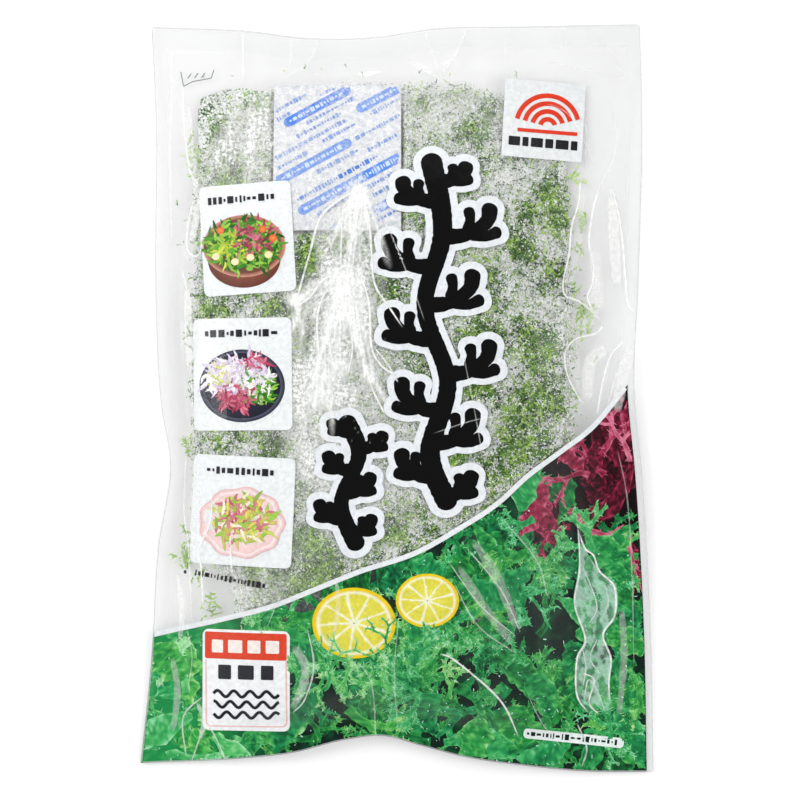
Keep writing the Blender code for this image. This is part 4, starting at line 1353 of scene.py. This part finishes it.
def painted_highlight(route, half_width, white, seed, edge=2):
    """A soft-edged painted highlight on a smooth route: (points in mm, quads, how white each point is)."""
    path = rounded(route, 14)
    t = np.linspace(0, 1, len(path))
    columns = 5 if half_width < 1 else 11
    waver = 1 + 0.25 * noise2(t * 9 + seed, t * 0 + 0.5, 91)
    width = half_width * (0.5 + 0.5 * np.sin(np.pi * t) ** 0.5) * waver
    flat, quads, side = strip(path, width, columns)
    fleck = 0.80 + 0.35 * noise2(flat[:, 0] / 2.2 + seed, flat[:, 1] / 2.2, 92)
    fade = np.repeat(ease(t / 0.08) * ease((1 - t) / 0.08), columns)
    return on_film(flat), quads, np.clip(white * fleck * fade * (1 - np.abs(side) ** edge), 0, 1)


# A painted highlight along every crease, as bright as the crease's last column gives
lines = [painted_highlight(route, 0.28 + 0.30 * white, white, k)
         for k, (route, _, _, _, white) in enumerate(CREASES)]
# Short folds that get only a painted highlight, with no crease under it
SHORT_FOLDS = [
    [(73.4, -66), (77, -74), (80, -84), (76.4, -91)], [(80.4, -96), (77.4, -104), (81.6, -111)],
    [(75, -121), (76.6, -113), (80, -117), (83.6, -126)], [(83, -74), (84.6, -82), (81, -90)],
    [(74, -99), (75.6, -108), (74.4, -116)]
]
lines += [painted_highlight(route, 0.4, 0.75, k) for k, route in enumerate(SHORT_FOLDS)]
# Painted sheen on broad facets of bent film: route, half width, and how white
FACETS = [
    ([(30, -56), (40, -72), (48, -92)], 2.4, 0.24), ([(24, -66), (34, -82), (46, -98)], 2.0, 0.24),
    ([(68, 44), (72, 62), (74, 84)], 2.2, 0.24), ([(88, 44), (87, 64), (86, 82)], 2.6, 0.45),
    ([(74, 26), (80, 40), (79, 60)], 3.2, 0.30), ([(76, -2), (77, 14), (84, 20)], 3.0, 0.36),
    ([(88, -6), (90, 8), (94, 20)], 2.6, 0.4), ([(-84, 118), (-82, 96), (-80, 84)], 1.8, 0.3),
    ([(-82, 62), (-80, 72), (-78.5, 80)], 1.6, 0.5), ([(-84, 44), (-83, 30), (-82, 12)], 1.8, 0.4),
    ([(-80, -24), (-80, -44), (-82, -64)], 2.4, 0.3),
    ([(-41, -98), (-36.5, -106), (-37.5, -115), (-42, -124)], 2.0, 0.34),
    ([(-90, -104), (-88, -118), (-90, -134)], 1.5, 0.28),
    ([(-80, -122), (-77.5, -129), (-79, -137)], 1.2, 0.4),
    ([(-88, -70), (-86, -84), (-87, -98)], 1.2, 0.35), ([(-24, -72), (-23.2, -82), (-25, -94)], 1.0, 0.3),
    ([(90, -84), (91, -104), (89, -128)], 1.6, 0.25)
]
lines += [painted_highlight(route, half_width, white, k, 6) for k, (route, half_width, white) in enumerate(FACETS)]
CUT_INSET, CUT_LIMIT = 0.35, 0.3  # how far in from the film's edge its cut shows, and may end
cuts, share = [], np.linspace(0, 1, 301)
for edge, inward, length, turned in ((LEFT_EDGE, CUT_INSET, 298, 1), (RIGHT_EDGE, -CUT_INSET, 298, 1),
                                     (TOP_EDGE, -CUT_INSET, 204, -1), (BOTTOM_EDGE, CUT_INSET, 204, -1)):
    place = length * share - length / 2
    path = np.column_stack([along(edge, place) + inward, place])[:, ::turned]
    x, y = path.T
    path = path[(y < along(TOP_EDGE, x) - CUT_LIMIT) & (y > along(BOTTOM_EDGE, x) + CUT_LIMIT)
                & (x > along(LEFT_EDGE, y) + CUT_LIMIT) & (x < along(RIGHT_EDGE, y) - CUT_LIMIT)]
    flat, quads, _ = strip(path, np.full(len(path), 0.25), 2)
    cuts.append((on_film(flat), quads, np.full(len(flat), 0.55)))
joined("cut_edges", cuts,
               moisture_material("cut film edge", "shade", 0.95, 1.05, (0.55, 0.56, 0.57)))
# The painted highlights of the creases, short folds and facets, in one mesh
folds = joined("fold_highlights", lines, moisture_material("painted fold highlights", "shade", 0.92, 1.08))
# The creases that the painted glassy sheen lies between, and its grid and that of the painted glare streaks
GLASSY_RIMS = [
    [(72, -49), (73, -62), (71.2, -82), (75.2, -96), (72.2, -105), (72.2, -118), (77, -128)],
    [(72.4, -49), (75, -60), (81, -69), (86.8, -76), (87, -87), (82.7, -95), (85.5, -105), (84.7, -115),
     (85.5, -128)]
]
GLASSY_GRID, STREAK_GRID = (110, 23), (134, 288)
levels = np.linspace(-51, -127, GLASSY_GRID[0])
curves = [rounded(rim, 14) for rim in GLASSY_RIMS]
rims = [np.interp(-levels, -curve[:, 1], curve[:, 0]) for curve in curves]
side = np.linspace(0, 1, GLASSY_GRID[1])
x = rims[0][:, None] * (1 - side) + rims[1][:, None] * side
flat = np.stack([x, np.tile(levels[:, None], GLASSY_GRID[1])], 2).reshape(-1, 2)
x, y = flat.T
# Painted sheen of the glassy patch: faint all over, brighter in torn patches and at both rims
shape = noise2(x / 3.4 + 3, y / 7.5, 94) + 0.5 * noise2(x / 1.6, y / 3.0, 95)
rim = np.abs(np.tile(side, GLASSY_GRID[0]) * 2 - 1) ** 4
glass = (0.04 + (0.07 + 0.32 * ease((shape + 0.12) / 0.14))
         * ease((-55 - y) / 8) * ease((y + 124 + 4 * shape) / 3) + 0.14 * rim)
glassy = (on_film(flat), lattice_quads(*GLASSY_GRID), glass * ease((y + 127) / 2))
mint = moisture_material("painted glassy sheen", "shade", 0.85, 1.15, (0.62, 0.92, 0.76))
joined("glassy_fold_sheen", [glassy], mint)
fan_rng = np.random.default_rng(93)
# Painted glare streaks of the loose film: route, half width, and how white
streaks = [([(-44, 37), (-39, 39), (-33, 43)], 1.6, 0.8), ([(-14, 14), (-8, 5), (-3, -4)], 1.2, 0.8),
           ([(-34, 44), (-37, 30), (-38, 16)], 1.2, 0.4)]
# Fans of painted glare streaks: where each starts, how far its ends spread, how low they reach, and how
# many
FANS = [
    ((-15, 84), -30, -11, 48, 13), ((-21, 50), -35, -8, 6, 26), ((-40, 40), -45, -36, 16, 6),
    ((-29, 12), -39, -21, -12, 12), ((-20, 48), -44, -34, 32, 3), ((-14, 84), -8, 2, 50, 3)
]
for top, left, right, foot, count in FANS:
    for _ in range(count):
        start = np.array(top) + fan_rng.normal(0, 1.6, 2)
        end = np.array([fan_rng.uniform(left, right), foot + fan_rng.uniform(-7, 16)])
        middle = 0.5 * (start + end) + fan_rng.normal(0, 0.8, 2)
        streaks.append(([tuple(start), tuple(middle), tuple(end)],
                        fan_rng.choice([0.3, 0.4, 0.6, 0.9, 1.5]), fan_rng.uniform(0.3, 0.85)))
# Soft spots of painted glare: centre, reach across and along in mm, and how white
GLARE_SPOTS = [(-15, 80, 5, 6, 0.85), (-19, 70, 6, 9, 0.35), (-21, 47, 8, 5, 0.85), (-19, 38, 9, 7, 0.40),
         (-40, 39, 3.5, 3, 0.85), (-26, 12, 9, 6, 0.60), (-31, 0, 7, 6, 0.45), (-11, 9, 4, 4, 0.40),
         (-31, 44, 6, 3, 0.35)]
x, y = (c.ravel() for c in np.meshgrid(np.linspace(-49, 1, STREAK_GRID[0]),
                                       np.linspace(-18, 90, STREAK_GRID[1]),
                                       indexing="ij"))
clear = np.prod([1 - crease_height(x, y, *streak, 0.0) for streak in streaks], axis=0)
torn = 0.5 * noise2(x / 1.6, y / 5, 98) + 0.3 * noise2(x / 0.7, y / 1.6, 99)
for *place, most in GLARE_SPOTS:
    clear = clear * (1 - most * ease(1.25 * spot(x, y, *place) + 0.45 * torn - 0.12))
white = (1 - clear) * (1 + 0.35 * noise2(x / 0.9, y / 6, 96)
                       + 0.25 * noise2(x / 2.5, y / 3, 97)) * ease((0.98 - clear) / 0.06)
sheet = (on_film(np.column_stack([x, y])), lattice_quads(*STREAK_GRID),
         np.clip(white, 0, 0.96) * ease((1.5 - x) / 6))
joined("glare_streak_sheet", [sheet], moisture_material("painted glare on film", "shade", 0.75, 1.15))

# ---------------------------------------------------------------------------------------------
# Floor, light and camera: a white table under soft boxes and strips, seen from straight above.
FLOOR_SIZE = 3
CAMERA_PLACE = (0.0012, -0.0008, 1.21)
SENSOR, FRAMED, FRAMED_FROM = 36, 0.3187, 1.2  # sensor in mm, and the width framed from a height
bpy.ops.mesh.primitive_plane_add(size=FLOOR_SIZE, location=(0, 0, 0))
floor = bpy.context.object
floor.name = "floor"
add, surface = tree_of("white floor")
paint = add("BsdfDiffuse", Color=(0.66, 0.66, 0.66, 1))
glow = add("Emission", Color=(1, 1, 1, 1), Strength=0.36)
both = add("AddShader", _0=paint.outputs[0], _1=glow.outputs[0])
seen = add("LightPath")
direct = add("Math", {"operation": "ADD"}, _0=seen.outputs["Is Camera Ray"],
             _1=seen.outputs["Is Glossy Ray"])
share = add("Math", {"operation": "ADD", "use_clamp": True}, _0=direct.outputs[0],
            _1=seen.outputs["Is Transmission Ray"])
floor.data.materials.append(surface(add("MixShader", _0=share.outputs[0], _1=paint.outputs[0],
                                        _2=both.outputs[0]).outputs[0]))
floor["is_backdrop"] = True

# The walls of the room are bright and the ceiling over the camera is dim, so that film that
# lies flat shows no veil.
world = bpy.data.worlds.new("studio")
bpy.context.scene.world = world
world.use_nodes = True
nodes, links = world.node_tree.nodes, world.node_tree.links
way = nodes.new("ShaderNodeTexCoord")
split = nodes.new("ShaderNodeSeparateXYZ")
level = nodes.new("ShaderNodeMapRange")
level.interpolation_type = "SMOOTHSTEP"
for k, value in ((1, 0.55), (2, 0.93), (3, 0.86), (4, 0.10)):
    level.inputs[k].default_value = value
links.new(way.outputs["Generated"], split.inputs[0])
links.new(split.outputs["Z"], level.inputs[0])
nodes["Background"].inputs["Color"].default_value = (1, 1, 1, 1)
seen = nodes.new("ShaderNodeLightPath")
strength = nodes.new("ShaderNodeMath")
strength.operation = "MAXIMUM"
links.new(level.outputs["Result"], strength.inputs[0])
links.new(seen.outputs["Is Camera Ray"], strength.inputs[1])
links.new(strength.outputs[0], nodes["Background"].inputs["Strength"])


def lamp(name, place, size, power, mirrored=True):
    """A rectangular soft box that faces the pouch; one that isn't mirrored leaves no glare in it."""
    bpy.ops.object.light_add(type="AREA", location=place)
    light = bpy.context.object
    light.name = name
    light.visible_glossy = mirrored
    light.data.shape = "RECTANGLE"
    light.data.size, light.data.size_y = size
    light.data.energy = power
    light.rotation_euler = (Vector((0, 0, 0)) - Vector(place)).to_track_quat("-Z", "Y").to_euler()


lamp("left box", (-0.75, 0.45, 0.95), (0.9, 0.9), 10.2, mirrored=False)
lamp("right box", (0.85, -0.10, 0.90), (0.6, 0.9), 4.9, mirrored=False)
lamp("left strip", (-1.10, 0.05, 0.28), (0.07, 1.2), 0.6)
lamp("right strip", (1.10, 0.05, 0.28), (0.07, 1.2), 0.6)
lamp("top strip", (0.0, 1.15, 0.50), (1.0, 0.05), 1.8)

bpy.ops.object.camera_add(location=CAMERA_PLACE, rotation=(0, 0, 0))
camera = bpy.context.object
camera.data.sensor_width = SENSOR
camera.data.lens = SENSOR * FRAMED_FROM / FRAMED
bpy.context.scene.camera = camera
bpy.context.scene.view_settings.view_transform = "Standard"

low, high = cad_box
new_low, new_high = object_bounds()
{"cad": [list(low), list(high)], "visual": [list(new_low), list(new_high)]}
